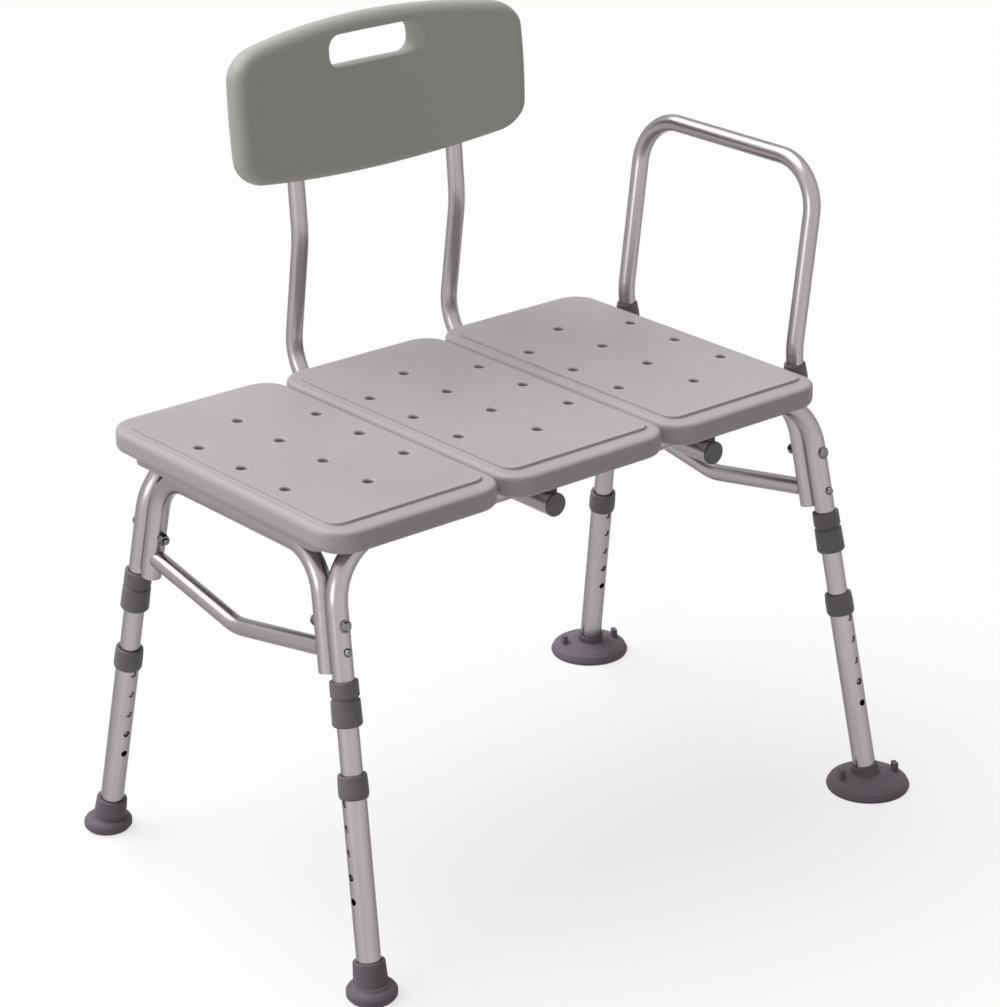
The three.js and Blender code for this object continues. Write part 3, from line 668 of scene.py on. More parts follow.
def bolt_pattern(length, head_r, washer_r):
    """Local Z points into the leg; the head's seat is at zero."""
    shank = spun("shank", [(0, -WASHER_TALL), (BOLT_R, -WASHER_TALL), (BOLT_R, length, 0.6), (0, length)],
                 sides=32)
    head = spun("head", [
        (0, -HEAD_TALL), (head_r * HEAD_CROWN, -HEAD_TALL, 0.8), (head_r, -HEAD_TALL * HEAD_WAIST, 1.2),
        (head_r, -WASHER_TALL), (washer_r, -WASHER_TALL, 0.3), (washer_r, 0, 0.3), (0, 0),
    ], sides=48)
    return carve(shank, head, "UNION")


outside = FRAME_R + FIT_GAP
inside = 3 * FRAME_R + FIT_GAP
for word, drops, radii, reach in (
        ("upper", UPPER_BOLT, UPPER_HEAD, inside + NUT_TALL + BOLT_PAST_NUT),
        ("lower", LOWER_BOLT, LOWER_HEAD, inside + BOLT_GRIP)):
    bolts = copies(f"bolts_{word}", bolt_pattern(reach + outside, *radii),
                   fastener_places(drops, -outside), PLATED_STEEL)
    deliver(bolts, "frame", PLATED_STEEL, "fastener", *[f"frame_bolt_{word}_{key}" for key in CORNERS])

# %% Nuts, hexagons whose outer corners are turned off
nut = disc("nut", NUT_R, 0, NUT_TALL, sides=6)
carve(nut, spun("cone", [(0, -1), (NUT_R + 2, -1), (NUT_R + 2, NUT_TALL - NUT_SLOPE),
                         (NUT_R * NUT_CROWN, NUT_TALL), (0, NUT_TALL)], sides=64), "INTERSECT")
carve(nut, disc("bore", BOLT_R + FIT_GAP, -1, NUT_TALL + 1, sides=32))
nuts = copies("nuts", nut, fastener_places(UPPER_BOLT, inside + FIT_GAP), PLATED_STEEL)
deliver(nuts, "frame", PLATED_STEEL, "fastener", *[f"frame_nut_{key}" for key in CORNERS])

# %% [markdown]
# ## Seat panels
# The panels are blow-moulded: a soft tube of plastic is closed in a mould and blown out, which
# gives rounded edges all round, a seat raised over its rim, and drain holes with soft mouths.
# A stack of rounded rectangles, each a little inside or below the last, draws that skin.

# %% The panel's outline and skin
PANEL_THICK = 28.0
CORNER_PER_INSET = 1.5
CORNER_LEAST = 0.4


def rectangle(half_x, half_y, corner, steps=10):
    """A rounded rectangle, from its right side round to the left."""
    result = []
    for sx, sy, quarter in ((1, 1, 0), (-1, 1, 1), (-1, -1, 2), (1, -1, 3)):
        for k in range(steps + 1):
            angle = (quarter + k / steps) * math.pi / 2
            result.append((sx * (half_x - corner) + corner * math.cos(angle),
                           sy * (half_y - corner) + corner * math.sin(angle)))
    return result


def slab(name, half_x, half_y, corner, skin, middle=(0, 0, 0)):
    """Stacks rounded rectangles along a skin of (inset, height) or (inset, height, inset in Y)."""
    points, faces = [], []
    for inset, z, *deep in skin:
        inset_y = deep[0] if deep else inset
        tight = max(corner - CORNER_PER_INSET * inset, corner * CORNER_LEAST)
        ring = rectangle(half_x - inset, half_y - inset_y, tight)
        points += [Vector((x, y, z)) + Vector(middle) for x, y in ring]
    n = len(points) // len(skin)
    for k in range(len(skin) - 1):
        for i in range(n):
            j = (i + 1) % n
            faces.append((k * n + i, k * n + j, (k + 1) * n + j, (k + 1) * n + i))
    faces.append(tuple(reversed(range(n))))
    faces.append(tuple((len(skin) - 1) * n + i for i in range(n)))
    return tidy_mesh(mesh_object(name, points, faces))


EDGE_LOW = 8.0
EDGE_TALL = 8.0
BASE_IN = 4.0
RIM_DROP = 3.0
RIM_IN = (7.5, 9.5)
RIM_EASE = 1.8
STEP_IN = (12.8, 21.0)

panel_skin = [(EDGE_LOW + BASE_IN, -PANEL_THICK)]
for a in np.radians(np.linspace(270, 180, 8)):
    panel_skin.append((EDGE_LOW * (1 + math.cos(a)), -PANEL_THICK + EDGE_LOW * (1 + math.sin(a))))
for a in np.radians(np.linspace(180, 90, 14)):
    across = 1 + math.cos(a)
    panel_skin.append((RIM_IN[0] * across, -RIM_DROP - EDGE_TALL * (1 - math.sin(a)),
                       RIM_IN[1] * across ** RIM_EASE))
for over, drop_to in ((-0.7, RIM_DROP - 0.1), (-0.2, RIM_DROP - 0.5), (0.0, RIM_DROP - 1.1), (0.1, 0.7),
                      (0.3, 0.2), (0.8, 0.03), (1.6, 0.0), (5.0, 0.0)):
    panel_skin.append((STEP_IN[0] + over, -drop_to, STEP_IN[1] + over))
print("panel skin:", len(panel_skin), "rings")

# %% Drain holes
DRAIN_PITCH = 74.5
DRAIN_R = 5.4
DRAIN_MOUTH = 7.8
DRAIN_ROWS = {-1: (-1, 0, 1), 0: (-1.5, -0.5, 0.5, 1.5), 1: (-1, 0, 1)}


def drain_cutters(centre_x):
    """Holes with soft mouths, each about local Z, with the seat's top at zero."""
    lip = DRAIN_MOUTH - DRAIN_R
    mouth = [(DRAIN_MOUTH - lip * math.sin(a), -lip + lip * math.cos(a) + HAIR)
             for a in np.linspace(math.pi / 2, 0, 6)]
    cutter = spun("drain", [(0, -PANEL_THICK - PAST), (DRAIN_R, -PANEL_THICK - PAST), *mouth,
                            (DRAIN_MOUTH, PAST), (0, PAST)], sides=32)
    return copies("drains", cutter, [
        Matrix.Translation(at(centre_x + column * DRAIN_PITCH, row * DRAIN_PITCH, SEAT_TOP))
        for column, rows in DRAIN_ROWS.items() for row in rows])


print("drain holes to a panel:", sum(len(rows) for rows in DRAIN_ROWS.values()))

# %% The panels, fitted over the tubes
PANEL_WIDTH = 217.6
PANEL_DEPTH = 406.0
PANEL_CORNER = 35.0
PANEL_PITCH = 220.0
APRON_HALF = (18.5, 160)
APRON_CORNER = 12
APRON_IN = 25.5
APRON_SKIN = ((4, -36.0), (0.8, -35.2), (0, -33.0), (0, -20.0))
SADDLE_HALF = 230
BOSS_HALF = (31, 30)
BOSS_CORNER = 6
BOSS_IN = 31
BOSS_SKIN = ((1.5, -30.0), (0.4, -29.6), (0, -28.6), (0, -20.0))

for slot, word in ((-1, "left"), (0, "middle"), (1, "right")):
    centre_x = SEAT_SHIFT + slot * PANEL_PITCH
    edge_x = centre_x - PANEL_WIDTH / 2
    panel = slab(f"seat_{word}", PANEL_WIDTH / 2, PANEL_DEPTH / 2, PANEL_CORNER, panel_skin,
                 at(centre_x, 0, SEAT_TOP))
    if slot < 0:
        carve(panel, slab("apron", *APRON_HALF, APRON_CORNER, APRON_SKIN,
                          at(edge_x + APRON_IN, 0, SEAT_TOP)), "UNION")
        foot_x = -RAIL_HALF_LENGTH - (RAIL_Z - END_Z) * SPLAY_X
        carve(panel, peg("saddle", at(foot_x, -SADDLE_HALF, END_Z), at(foot_x, SADDLE_HALF, END_Z),
                         FRAME_R + FIT_GAP, 64))
    boss_place = at(edge_x + PANEL_CORNER + BOSS_IN, -PANEL_DEPTH / 2 + EDGE_LOW + BOSS_IN, SEAT_TOP)
    carve(panel, slab("boss", *BOSS_HALF, BOSS_CORNER, BOSS_SKIN, boss_place), "UNION")
    for sy in (-1, 1):
        carve(panel, bent("channel", rail_path(sy), [RAIL_BEND] * 2, FRAME_R + FIT_GAP, closed=True))
    carve(panel, drain_cutters(centre_x))
    deliver(panel, "frame", SEAT_PLASTIC, "seat_plastic", f"seat_panel_{word}")

# %% [markdown]
# ## Receivers for the back rest
# Two short tubes fixed under the rails hold the back rest. Each has a turned plug with a round
# release button at the front, and a bush at the rear. Tube and plug get their bores for the
# button from pegs on one line, so the two line up and the button goes down touching neither.

# %% Receivers
RECEIVER_R = 12.7
RECEIVER_WALL = 1.5
RECEIVER_FRONT = -174.5
RECEIVER_REAR = 180.0
RECEIVER_Z = RAIL_Z - FRAME_R - RECEIVER_R - FIT_GAP
BACK_CENTRE = 55.6
BACK_SPACING = 220.0
PLUG_FACE = 2.6
PLUG_SPIGOT = 16.0
RELEASE_R = 3.2
RELEASE_OUT = 5.6
RELEASE_DEPTH = 7.0
RELEASE_SETBACK = 1.2
RELEASE_TRAVEL = 3.0
RELEASE_CUT = Vector((0, 0, 30))
BUSH_BORE = 9.8
BUSH_DEPTH = 30
BUSH_FACE = 3

for side, word in LEFT_RIGHT:
    x = BACK_CENTRE + side * BACK_SPACING / 2
    front, rear = at(x, RECEIVER_FRONT, RECEIVER_Z), at(x, RECEIVER_REAR, RECEIVER_Z)
    stand = at(x, RECEIVER_FRONT + RELEASE_SETBACK, RECEIVER_Z)
    receiver = tube(f"receiver_tube_{word}", [front, rear], [], RECEIVER_R, RECEIVER_WALL, sides=72)
    carve(receiver, peg("bore", stand, stand + RELEASE_CUT, RELEASE_R + FIT_GAP, 40))
    deliver(receiver, "frame", TUBE_METAL, "tube", f"back_receiver_{word}")

    spigot = RECEIVER_R - RECEIVER_WALL - FIT_GAP
    plug = spun(f"plug_{word}", [
        (0, -PLUG_FACE - FIT_GAP), (RECEIVER_R, -PLUG_FACE - FIT_GAP, 1.2), (RECEIVER_R, -FIT_GAP, 0.3),
        (spigot, -FIT_GAP), (spigot, PLUG_SPIGOT, 0.8), (0, PLUG_SPIGOT),
    ], along(front, (0, 1, 0)))
    sump = stand - Vector((0, 0, RELEASE_DEPTH + RELEASE_TRAVEL + FIT_GAP))
    carve(plug, peg("bore", sump, stand + RELEASE_CUT, RELEASE_R + FIT_GAP, 40))
    deliver(plug, "frame", COLLAR_PLASTIC, "collar_plastic", f"receiver_plug_{word}")

    head = RECEIVER_R + RELEASE_OUT
    button = spun(f"release_{word}_cap", [(0, -RELEASE_DEPTH), (RELEASE_R, -RELEASE_DEPTH, 0.4),
                                          (RELEASE_R, head, 1.3), (0, head)],
                  Matrix.Translation(stand), sides=48)
    deliver(button, f"release_{word}", BUTTON_PLASTIC, "button_plastic", f"back_release_{word}")

    bush = spun(f"bush_{word}", [
        (BUSH_BORE, -BUSH_DEPTH), (spigot, -BUSH_DEPTH, 0.5), (spigot, FIT_GAP), (RECEIVER_R, FIT_GAP, 0.3),
        (RECEIVER_R, BUSH_FACE, 1.0), (BUSH_BORE, BUSH_FACE, 0.6),
    ], along(rear, (0, 1, 0)))
    deliver(bush, "frame", COLLAR_PLASTIC, "collar_plastic", f"receiver_bush_{word}")
print("receivers at z =", round(RECEIVER_Z, 1))

# %% [markdown]
# ## Back rest tubes
# They come out of the receivers, turn up behind the seat, lean forward to the small of the back
# and lean back again into the panel. The rails' tree bends them too: only corners and radii
# change, so these tubes can't come out different in kind from the frame's.

# %% Back tubes
BACK_TUBE_R = 9.5
BACK_TUBE_WALL = 1.3
BACK_BASE_Y = 281.0
BACK_BEND = 60.0
PLUG_CLEAR = 0.4
LUMBAR_Y = 252.7
LUMBAR_RISE = 125.0
LUMBAR_BEND = 150.0
BACK_LEAN = math.radians(4)
BACK_INSERT = 100.0
BACK_RISE = 184.4
for side, word in LEFT_RIGHT:
    x = BACK_CENTRE + side * BACK_SPACING / 2
    rise = BACK_RISE - LUMBAR_RISE + BACK_INSERT * math.cos(BACK_LEAN)
    kink = at(x, LUMBAR_Y, SEAT_TOP + LUMBAR_RISE)
    path = [at(x, RECEIVER_FRONT + PLUG_SPIGOT + PLUG_CLEAR, RECEIVER_Z), at(x, BACK_BASE_Y, RECEIVER_Z),
            kink, kink + Vector((0, rise * math.tan(BACK_LEAN), rise))]
    post = tube(f"back_post_{word}", path, [BACK_BEND, LUMBAR_BEND], BACK_TUBE_R, BACK_TUBE_WALL,
                sides=60, steps=18)
    deliver(post, "back_rest", TUBE_METAL, "tube", f"back_tube_{word}")

# %% [markdown]
# ## Back rest panel
# The panel is blown like the seat's, but thicker at its rounded edge, with a slot to carry it by.
# Rings of points run from the slot's edge out to the panel's edge. Each point's distance to both
# edges says how far it stands out, so the two roundings melt into each other over the handle.

# %% The panel's two edges
BACK_WIDTH = 397.0
BACK_TALL = 174.0
BACK_CORNER = 31.0
SLOT_LENGTH = 123.0
SLOT_TALL = 36.0
SLOT_CORNER = 15.0
SLOT_FROM_TOP = 36.5
SLOT_RISE = BACK_TALL / 2 - SLOT_FROM_TOP
BULGE_TOP = 19.0
BULGE_LOW = 17.0
BULGE_SIDE = 3.0
COLUMNS = 288


def outline_points(half_x, half_y, corner, steps, spacing):
    """A rounded rectangle with points along its straight sides too."""
    ring = rectangle(half_x, half_y, corner, steps)
    result = []
    for (x, y), (next_x, next_y) in zip(ring, ring[1:] + ring[:1]):
        count = max(1, math.ceil(math.hypot(next_x - x, next_y - y) / spacing))
        result += [(x + (next_x - x) * k / count, y + (next_y - y) * k / count) for k in range(count)]
    return result


def barrel(x, y):
    """Draws the corners in, so that every side bulges to its middle."""
    across, up = 2 * x / BACK_WIDTH, 2 * y / BACK_TALL
    rise = BULGE_TOP if y > 0 else BULGE_LOW
    return x - BULGE_SIDE * up ** 2 * across, y - rise * across ** 2 * up


def spread_evenly(points):
    """Points of a closed line at equal turns about the slot's middle."""
    x, y = np.transpose(points)
    angles = np.arctan2(y - SLOT_RISE, x)
    wanted = np.arange(COLUMNS) * 2 * math.pi / COLUMNS
    return np.stack([np.interp(wanted, angles, axis, period=2 * math.pi) for axis in (x, y)], axis=1)


outer = outline_points(BACK_WIDTH / 2, BACK_TALL / 2, BACK_CORNER, steps=16, spacing=1.5)
hole = outline_points(SLOT_LENGTH / 2, SLOT_TALL / 2, SLOT_CORNER, steps=12, spacing=1.0)
rim = spread_evenly([barrel(x, y) for x, y in outer])
slot = spread_evenly([(x, y + SLOT_RISE) for x, y in hole])
print("edge points:", len(rim), "and", len(slot))

# %% Draw the panel by distance
BACK_THICK = 32.0
BACK_CURVE = 20.0
BACK_SET = 2.5
EDGE_ROUND = 14.0
EDGE_SHARE = 0.56
SLOT_ROUND = 6.0
SLOT_SHARE = 0.42
LEAST_HALF = 1.0
SLOT_ROWS, FLAT_ROWS, EDGE_ROWS = 8, 14, 12


def distance_to(line, points):
    """The least distance from each point to a closed line."""
    best = np.full(len(points), 1e9)
    for p, q in zip(line, np.roll(line, -1, axis=0)):
        way = q - p
        t = np.clip(((points - p) @ way) / max(way @ way, 1e-9), 0, 1)
        best = np.minimum(best, np.linalg.norm(points - (p + t[:, None] * way), axis=1))
    return best


def crown(distance, radius):
    """Height of a quarter-round edge at a distance in from the edge."""
    d = np.clip(distance, 0, radius)
    return np.sqrt(np.maximum(radius ** 2 - (radius - d) ** 2, 0)) - radius


def back_panel():
    way = rim - slot
    span = np.linalg.norm(way, axis=1)
    near = np.minimum(SLOT_ROUND, SLOT_SHARE * span)
    far = np.minimum(EDGE_ROUND, EDGE_SHARE * span)
    rows = [near * (1 - math.cos(a)) for a in np.linspace(0, math.pi / 2, SLOT_ROWS)]
    rows += [near + (span - near - far) * k / FLAT_ROWS for k in range(1, FLAT_ROWS)]
    rows += [span - far * (1 - math.cos(a)) for a in np.linspace(math.pi / 2, 0, EDGE_ROWS)]
    flat = np.array([slot + way * (row / span)[:, None] for row in rows]).reshape(-1, 2)
    stand = crown(distance_to(rim, flat), EDGE_ROUND) + crown(distance_to(slot, flat), SLOT_ROUND)
    half = np.maximum(BACK_THICK / 2 + stand, LEAST_HALF)
    bow = -BACK_CURVE * (2 * flat[:, 0] / BACK_WIDTH) ** 2
    points = [(x, b + side * h, y) for side in (-1, 1) for (x, y), h, b in zip(flat, half, bow)]
    sheet = len(flat)
    faces = []
    for k in range(0, sheet - COLUMNS, COLUMNS):
        for i in range(COLUMNS):
            j = (i + 1) % COLUMNS
            a, b, c, d = k + i, k + j, k + COLUMNS + j, k + COLUMNS + i
            faces += [(a, b, c, d), (a + sheet, d + sheet, c + sheet, b + sheet)]
    for k in (0, sheet - COLUMNS):
        for i in range(COLUMNS):
            a, b = k + i, k + (i + 1) % COLUMNS
            faces.append((a, a + sheet, b + sheet, b))
    rise = BACK_RISE + BACK_TALL / 2 * math.cos(BACK_LEAN)
    back = LUMBAR_Y + (rise - LUMBAR_RISE) * math.tan(BACK_LEAN) + BACK_SET
    centre = at(BACK_CENTRE, back, SEAT_TOP + rise)
    place = Matrix.Translation(centre) @ Matrix.Rotation(-BACK_LEAN, 4, "X")
    piece = tidy_mesh(mesh_object("back_rest_panel", [place @ Vector(p) for p in points], faces))
    for side in (-1, 1):
        low, high = (place @ Vector((side * BACK_SPACING / 2, -BACK_SET * math.cos(BACK_LEAN), z))
                     for z in (-BACK_TALL, -BACK_TALL / 2 + BACK_INSERT + FIT_GAP))
        carve(piece, peg("socket", low, high, BACK_TUBE_R + FIT_GAP))
    return piece


deliver(back_panel(), "back_rest", BACK_PLASTIC, "back_plastic", "back_panel")

# %% [markdown]
# ## Arm rest
# One tube, bent into an upside-down U. Its feet stand in the end frame's stubs and lean with
# them, and above the collars it turns outward to leave room for the hips. Its path starts from
# the stubs' own line, and each collar is turned about that line, so tube and socket stay true.

# %% Arm rest and its collars
ARM_R = 9.5
ARM_WALL = 1.3
ARM_KNEE_RISE = 15.0
ARM_KNEE_BEND = 80.0
ARM_RISE = 215.0
ARM_OUTSET = 28.0
ARM_BEND = 55.0
lean = Vector((ARM_OUTSET, 0, ARM_RISE - ARM_KNEE_RISE))
path = [arm_point(1, -ARM_FOOT), arm_point(1, ARM_KNEE_RISE), arm_point(1, ARM_KNEE_RISE) + lean,
        arm_point(-1, ARM_KNEE_RISE) + lean, arm_point(-1, ARM_KNEE_RISE), arm_point(-1, -ARM_FOOT)]
arm = tube("arm_loop", path, [ARM_KNEE_BEND, ARM_BEND, ARM_BEND, ARM_KNEE_BEND], ARM_R, ARM_WALL,
           sides=60, steps=16)
deliver(arm, "arm_rest", TUBE_METAL, "tube", "armrest_tube")
for sy, word in FRONT_REAR:
    shoulder = FIT_GAP - STUB_TOP
    collar = spun(f"arm_collar_{word}", [
        (FRAME_R + FIT_GAP, -38), (13.7, -38, 1.0), (13.7, -17, 2.0), (11.6, -3, 1.0),
        (ARM_R + FIT_GAP, -3, 0.5), (ARM_R + FIT_GAP, shoulder), (FRAME_R + FIT_GAP, shoulder),
    ], along(arm_point(sy, 0), arm_point(sy, 1) - arm_point(sy, 0)))
    deliver(collar, "frame", COLLAR_PLASTIC, "collar_plastic", f"armrest_socket_{word}")

# %% [markdown]
# ## Legs
# Under each corner an inner tube continues the leg, and a wider tube slides on it and is held by
# a snap button in one of five holes, an inch apart. The collars hide the cut ends. The holes are
# real cuts, made by copies of one cutter, so light and the button's head show in them. The button
# keeps its CAD form, because only its round head shows, and gets the steel's finish.

# %% Leg tubes and collars
INNER_END = 356.0
INNER_WALL = 1.2
SPIGOT_LENGTH = 42
NECK = 2.4
LOWER_R = 12.7
SLIDE_GAP = 0.4
CAP_TOP = 232.3
CAP_LENGTH = 24.4
CAP_LIP = 4.0
FIRST_HOLE = 260.8
HOLE_PITCH = 25.4
HOLE_COUNT = 5
PIN_HOLE = 3
HOLE_R = 3.8
HOLE_CUT = 30
FOOT_FLOOR = 6.0
SOLE = RAIL_Z * LEG_REACH


def hole_cutters(sx, sy, turn, depths):
    """Cutters that go from the leg's axis out through its row of holes."""
    leg = leg_matrix(sx, sy)
    out = leg.to_3x3() @ Vector((math.cos(turn), math.sin(turn), 0))
    return copies("holes", disc("hole", HOLE_R, 0, HOLE_CUT, sides=36),
                  [along(leg @ Vector((0, 0, -depth)), out) for depth in depths])


for key, (sx, sy, turn) in CORNERS.items():
    place = leg_matrix(sx, sy)
    holes = [FIRST_HOLE + k * HOLE_PITCH for k in range(HOLE_COUNT)]

    spigot = FRAME_R - FRAME_WALL - FIT_GAP
    shoulder = -FRAME_LEG_END - FIT_GAP
    inner = spun(f"inner_{key}", [
        (spigot - INNER_WALL, shoulder + SPIGOT_LENGTH), (spigot, shoulder + SPIGOT_LENGTH),
        (spigot, shoulder), (FRAME_R, shoulder),
        (FRAME_R, -INNER_END, 0.3), (FRAME_R - INNER_WALL, -INNER_END, 0.3),
        (FRAME_R - INNER_WALL, shoulder - NECK), (spigot - INNER_WALL, shoulder - NECK),
    ], place, sides=72)
    carve(inner, hole_cutters(sx, sy, turn, [holes[PIN_HOLE]]))
    deliver(inner, "frame", TUBE_METAL, "tube", f"leg_inner_tube_{key}")

    top = -CAP_TOP - CAP_LIP - FIT_GAP
    end = -SOLE + FOOT_FLOOR + FIT_GAP + LOWER_R * SPLAY_Y
    lower = tube(f"lower_{key}", [place @ Vector((0, 0, top)), place @ Vector((0, 0, end))], [], LOWER_R,
                 LOWER_R - FRAME_R - SLIDE_GAP, sides=72)
    carve(lower, hole_cutters(sx, sy, turn, holes))
    deliver(lower, f"leg_{key}", TUBE_METAL, "tube", f"leg_lower_tube_{key}")

    collar = spun(f"upper_collar_{key}", [
        (FRAME_R + FIT_GAP, -136.5), (FRAME_R + FIT_GAP, -182.5), (14.2, -182.5, 0.8), (15.5, -180.5, 0.8),
        (15.0, -156.6, 0.8), (13.2, -155.6, 0.3), (13.0, -153.4, 0.3), (14.8, -152.2, 0.8),
        (14.6, -136.5, 1.2),
    ], place)
    deliver(collar, "frame", COLLAR_PLASTIC, "collar_plastic", f"leg_upper_collar_{key}")

    cap_end = -CAP_TOP - CAP_LENGTH
    cap = spun(f"lower_collar_{key}", [
        (FRAME_R + SLIDE_GAP, -CAP_TOP, 0.5), (FRAME_R + SLIDE_GAP, -CAP_TOP - CAP_LIP),
        (LOWER_R + FIT_GAP, -CAP_TOP - CAP_LIP), (LOWER_R + FIT_GAP, cap_end, 0.4),
        (14.5, cap_end, 0.8), (15.5, cap_end + 3.5, 1.5), (15.4, -CAP_TOP - 9, 3.0), (14.8, -CAP_TOP, 1.4),
    ], place)
    deliver(cap, f"leg_{key}", COLLAR_PLASTIC, "collar_plastic", f"leg_lower_collar_{key}")
    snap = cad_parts[f"leg_button_{key}"].data.materials
    snap.clear()
    snap.append(PLATED_STEEL)

# %% [markdown]
# ## Feet
# The left legs stand on rubber tips with a wide rounded flange. The right legs stand in the bath,
# on suction cups: a dome with two lugs on it to peel it off by. A foot is round about plumb and
# its sleeve follows the leg, so the sole lies flat. Both are turned, joined and bored by booleans,
# and one small bevel then rounds every edge that these leave, as a rubber moulding is rounded.

# %% Rubber tips and suction cups
TIP = [(0, 0), (23, 0, 1.0), (26.4, 4.0, 3.5), (26.4, 9.6, 2.5), (24.0, 13.0, 2.0), (19.4, 14.2, 2.5),
       (18.0, 17.2), (0, 17.2)]
TIP_SLEEVE = [(0, 9), (18.3, 9), (16.6, 39, 1.2), (0, 39)]
CUP = [(0, 6), (27, 6, 3.0), (41, 0.8, 1.0), (45.7, 0, 0.8), (47.2, 3.5, 2.0), (44.0, 9.5, 4.0),
       (37.5, 13.2, 4.0), (20.5, 17.6, 3.0), (0, 17.6)]
CUP_SLEEVE = [(0, 12), (16.6, 12), (15.2, 20, 2.0), (14.9, 27, 1.0), (0, 27)]
LUG_HALF = (3.0, 5.0)
LUG_CORNER = 1.2
LUG_SKIN = [(0, 8), (0, 24.2), (0.4, 24.8), (1.0, 25)]
LUG_OUT = 32
LUG_TURN = math.radians(-23.5)
FOOT_BORE_TOP = 90
FOOT_EDGE = 0.6

for key, (sx, sy, _) in CORNERS.items():
    floor_point = leg_point(sx, sy, RAIL_Z)
    down = leg_down(sx, sy)
    upright = Matrix.Translation(floor_point)
    foot = spun(f"foot_{key}", TIP if sx < 0 else CUP, upright, steps=8)
    carve(foot, spun("sleeve", TIP_SLEEVE if sx < 0 else CUP_SLEEVE, along(floor_point, -down)), "UNION")
    if sx > 0:
        lugs = [upright @ Matrix.Rotation(LUG_TURN + half, 4, "Z") @ Matrix.Translation((LUG_OUT, 0, 0))
                for half in (0, math.pi)]
        lug = slab("lug", *LUG_HALF, LUG_CORNER, LUG_SKIN)
        carve(foot, copies("lugs", lug, lugs, FOOT_RUBBER), "UNION")
    bore_start = floor_point - down * (FOOT_FLOOR + LOWER_R * SPLAY_Y)
    carve(foot, peg("bore", bore_start, floor_point - down * FOOT_BORE_TOP, LOWER_R + FIT_GAP, 64))
    soften(foot, FOOT_EDGE, 40)
    deliver(foot, f"leg_{key}", FOOT_RUBBER, "foot_rubber", f"leg_foot_{key}")

# %% [markdown]
# ## Floor, light and camera
# A wide soft sun from the rear left and a panel lamp on the left light the bench as in the
# photograph: bright tops, darker fronts and a bright band down the left of each tube. Floor and
# world are white to the camera and in the metal but darker to the light that bounces, so the
# white adds no light to the bench, and the floor keeps its soft shadow.

# %% Floor and world
FLOOR_HALF = 8000
FLOOR_TONES = (0.42, 0.98)
FLOOR_GLOW = 0.7
AMBIENT = 0.22


def seen(tree):
    """One for rays from the camera and for those that metal and glass send on, else zero."""
    rays = tree.nodes.new("ShaderNodeLightPath").outputs
    value = rays["Is Camera Ray"]
    for name in ("Is Glossy Ray", "Is Transmission Ray"):
        either = add_node(tree, "ShaderNodeMath", {0: value, 1: rays[name]})
        either.operation = "MAXIMUM"
        value = either.outputs["Value"]
    return value


floor_corners = [(x * FLOOR_HALF, y * FLOOR_HALF, 0) for x, y in ((-1, -1), (1, -1), (1, 1), (-1, 1))]
floor = mesh_object("floor", floor_corners, [range(4)])
floor_paint = bpy.data.materials.new("floor paint")
floor_paint.use_nodes = True
tree = floor_paint.node_tree
view_ray = seen(tree)
grey = ramp(tree, view_ray, *FLOOR_TONES)
tint = add_node(tree, "ShaderNodeCombineColor", {"Red": grey, "Green": grey, "Blue": grey})
paint = feed(tree, tree.nodes["Principled BSDF"], {
    "Base Color": tint.outputs["Color"], "Roughness": 0.9, "Specular IOR Level": 0.0})
white = tree.nodes.new("ShaderNodeEmission")
both = add_node(tree, "ShaderNodeMixShader", {
    "Fac": ramp(tree, view_ray, 0.0, FLOOR_GLOW), 1: paint.outputs["BSDF"], 2: white.outputs["Emission"]})
feed(tree, tree.nodes["Material Output"], {"Surface": both.outputs["Shader"]})
floor.data.materials.append(floor_paint)

world = bpy.data.worlds.new("studio")
bpy.context.scene.world = world
world.use_nodes = True
tree = world.node_tree
feed(tree, tree.nodes["Background"], {
    "Color": (1, 1, 1, 1), "Strength": ramp(tree, seen(tree), AMBIENT, 1.0)})
print("floor and world ready")

# %% Lamps
SUN_AZIMUTH, SUN_ELEVATION, SUN_WIDTH = (math.radians(angle) for angle in (122, 62, 58))
SUN_LEVEL = 0.73
PANEL_SPOT = Vector((-2.7, -0.28, 0.85))
PANEL_AIM = Vector((0, 0, 0.5))
PANEL_SIZE = (1.2, 1.0)
PANEL_POWER = 11


def lamp(name, kind, spot, back, energy):
    """A lamp at a spot in metres, with its back turned to a direction."""
    data = bpy.data.lights.new(name, kind)
    data.energy = energy
    piece = add_object(name, data)
    piece.location = spot
    piece.rotation_euler = back.to_track_quat("Z", "Y").to_euler()
    return data


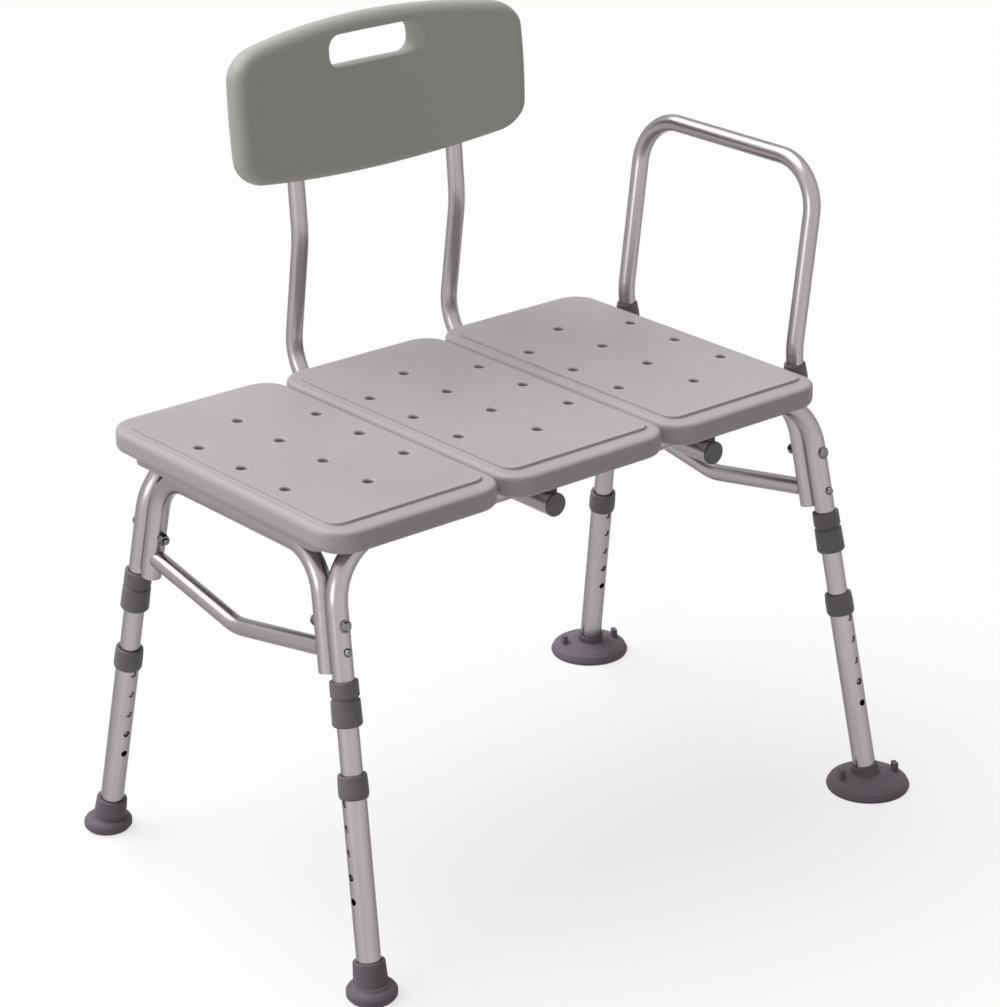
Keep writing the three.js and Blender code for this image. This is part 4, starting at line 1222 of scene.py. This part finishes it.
# The level is what the sun adds to a pale floor's brightness. Only its direction counts.
to_sun = Vector((math.cos(SUN_AZIMUTH) * math.cos(SUN_ELEVATION),
                 math.sin(SUN_AZIMUTH) * math.cos(SUN_ELEVATION), math.sin(SUN_ELEVATION)))
sun = lamp("top", "SUN", to_sun * 3, to_sun, SUN_LEVEL * math.pi / math.sin(SUN_ELEVATION))
sun.angle = SUN_WIDTH
side_panel = lamp("left", "AREA", PANEL_SPOT, PANEL_SPOT - PANEL_AIM, PANEL_POWER)
side_panel.shape = "RECTANGLE"
side_panel.size, side_panel.size_y = PANEL_SIZE
print("lamps:", len(bpy.data.lights))

# %% Camera at the photograph's viewing angle
CAMERA_SPOT = Vector((-2010.942, -2503.141, 1198.623))
CAMERA_AZIMUTH = math.radians(-39.625)
CAMERA_ELEVATION = math.radians(22.31)
CAMERA_ROLL = math.radians(-0.53)
FOCAL_PIXELS = 3238.741
PICTURE = (1000, 1007)
PRINCIPAL = (515.391, 503.425)
SENSOR = 36.0

back = Vector((math.sin(CAMERA_AZIMUTH) * math.cos(CAMERA_ELEVATION),
               -math.cos(CAMERA_AZIMUTH) * math.cos(CAMERA_ELEVATION), math.sin(CAMERA_ELEVATION)))
right = Vector((math.cos(CAMERA_AZIMUTH), math.sin(CAMERA_AZIMUTH), 0))
up = back.cross(right)
right, up = (right * math.cos(CAMERA_ROLL) + up * math.sin(CAMERA_ROLL),
             up * math.cos(CAMERA_ROLL) - right * math.sin(CAMERA_ROLL))
camera_data = bpy.data.cameras.new("camera")
camera_data.sensor_fit = "HORIZONTAL"
camera_data.sensor_width = SENSOR
camera_data.lens = FOCAL_PIXELS * SENSOR / PICTURE[0]
camera_data.shift_x = (PICTURE[0] / 2 - PRINCIPAL[0]) / PICTURE[0]
camera_data.shift_y = (PRINCIPAL[1] - PICTURE[1] / 2) / PICTURE[0]
camera_data.clip_end = 100.0
camera = add_object("camera", camera_data)
seat_origin = at(SEAT_SHIFT, 0, SEAT_TOP)
turn = Matrix((right, up, back)).transposed().to_4x4()
camera.matrix_world = Matrix.Translation((seat_origin + CAMERA_SPOT) * MM) @ turn
bpy.context.scene.camera = camera
bpy.context.scene.view_settings.view_transform = "Standard"
print("camera at", [round(v, 3) for v in camera.location])
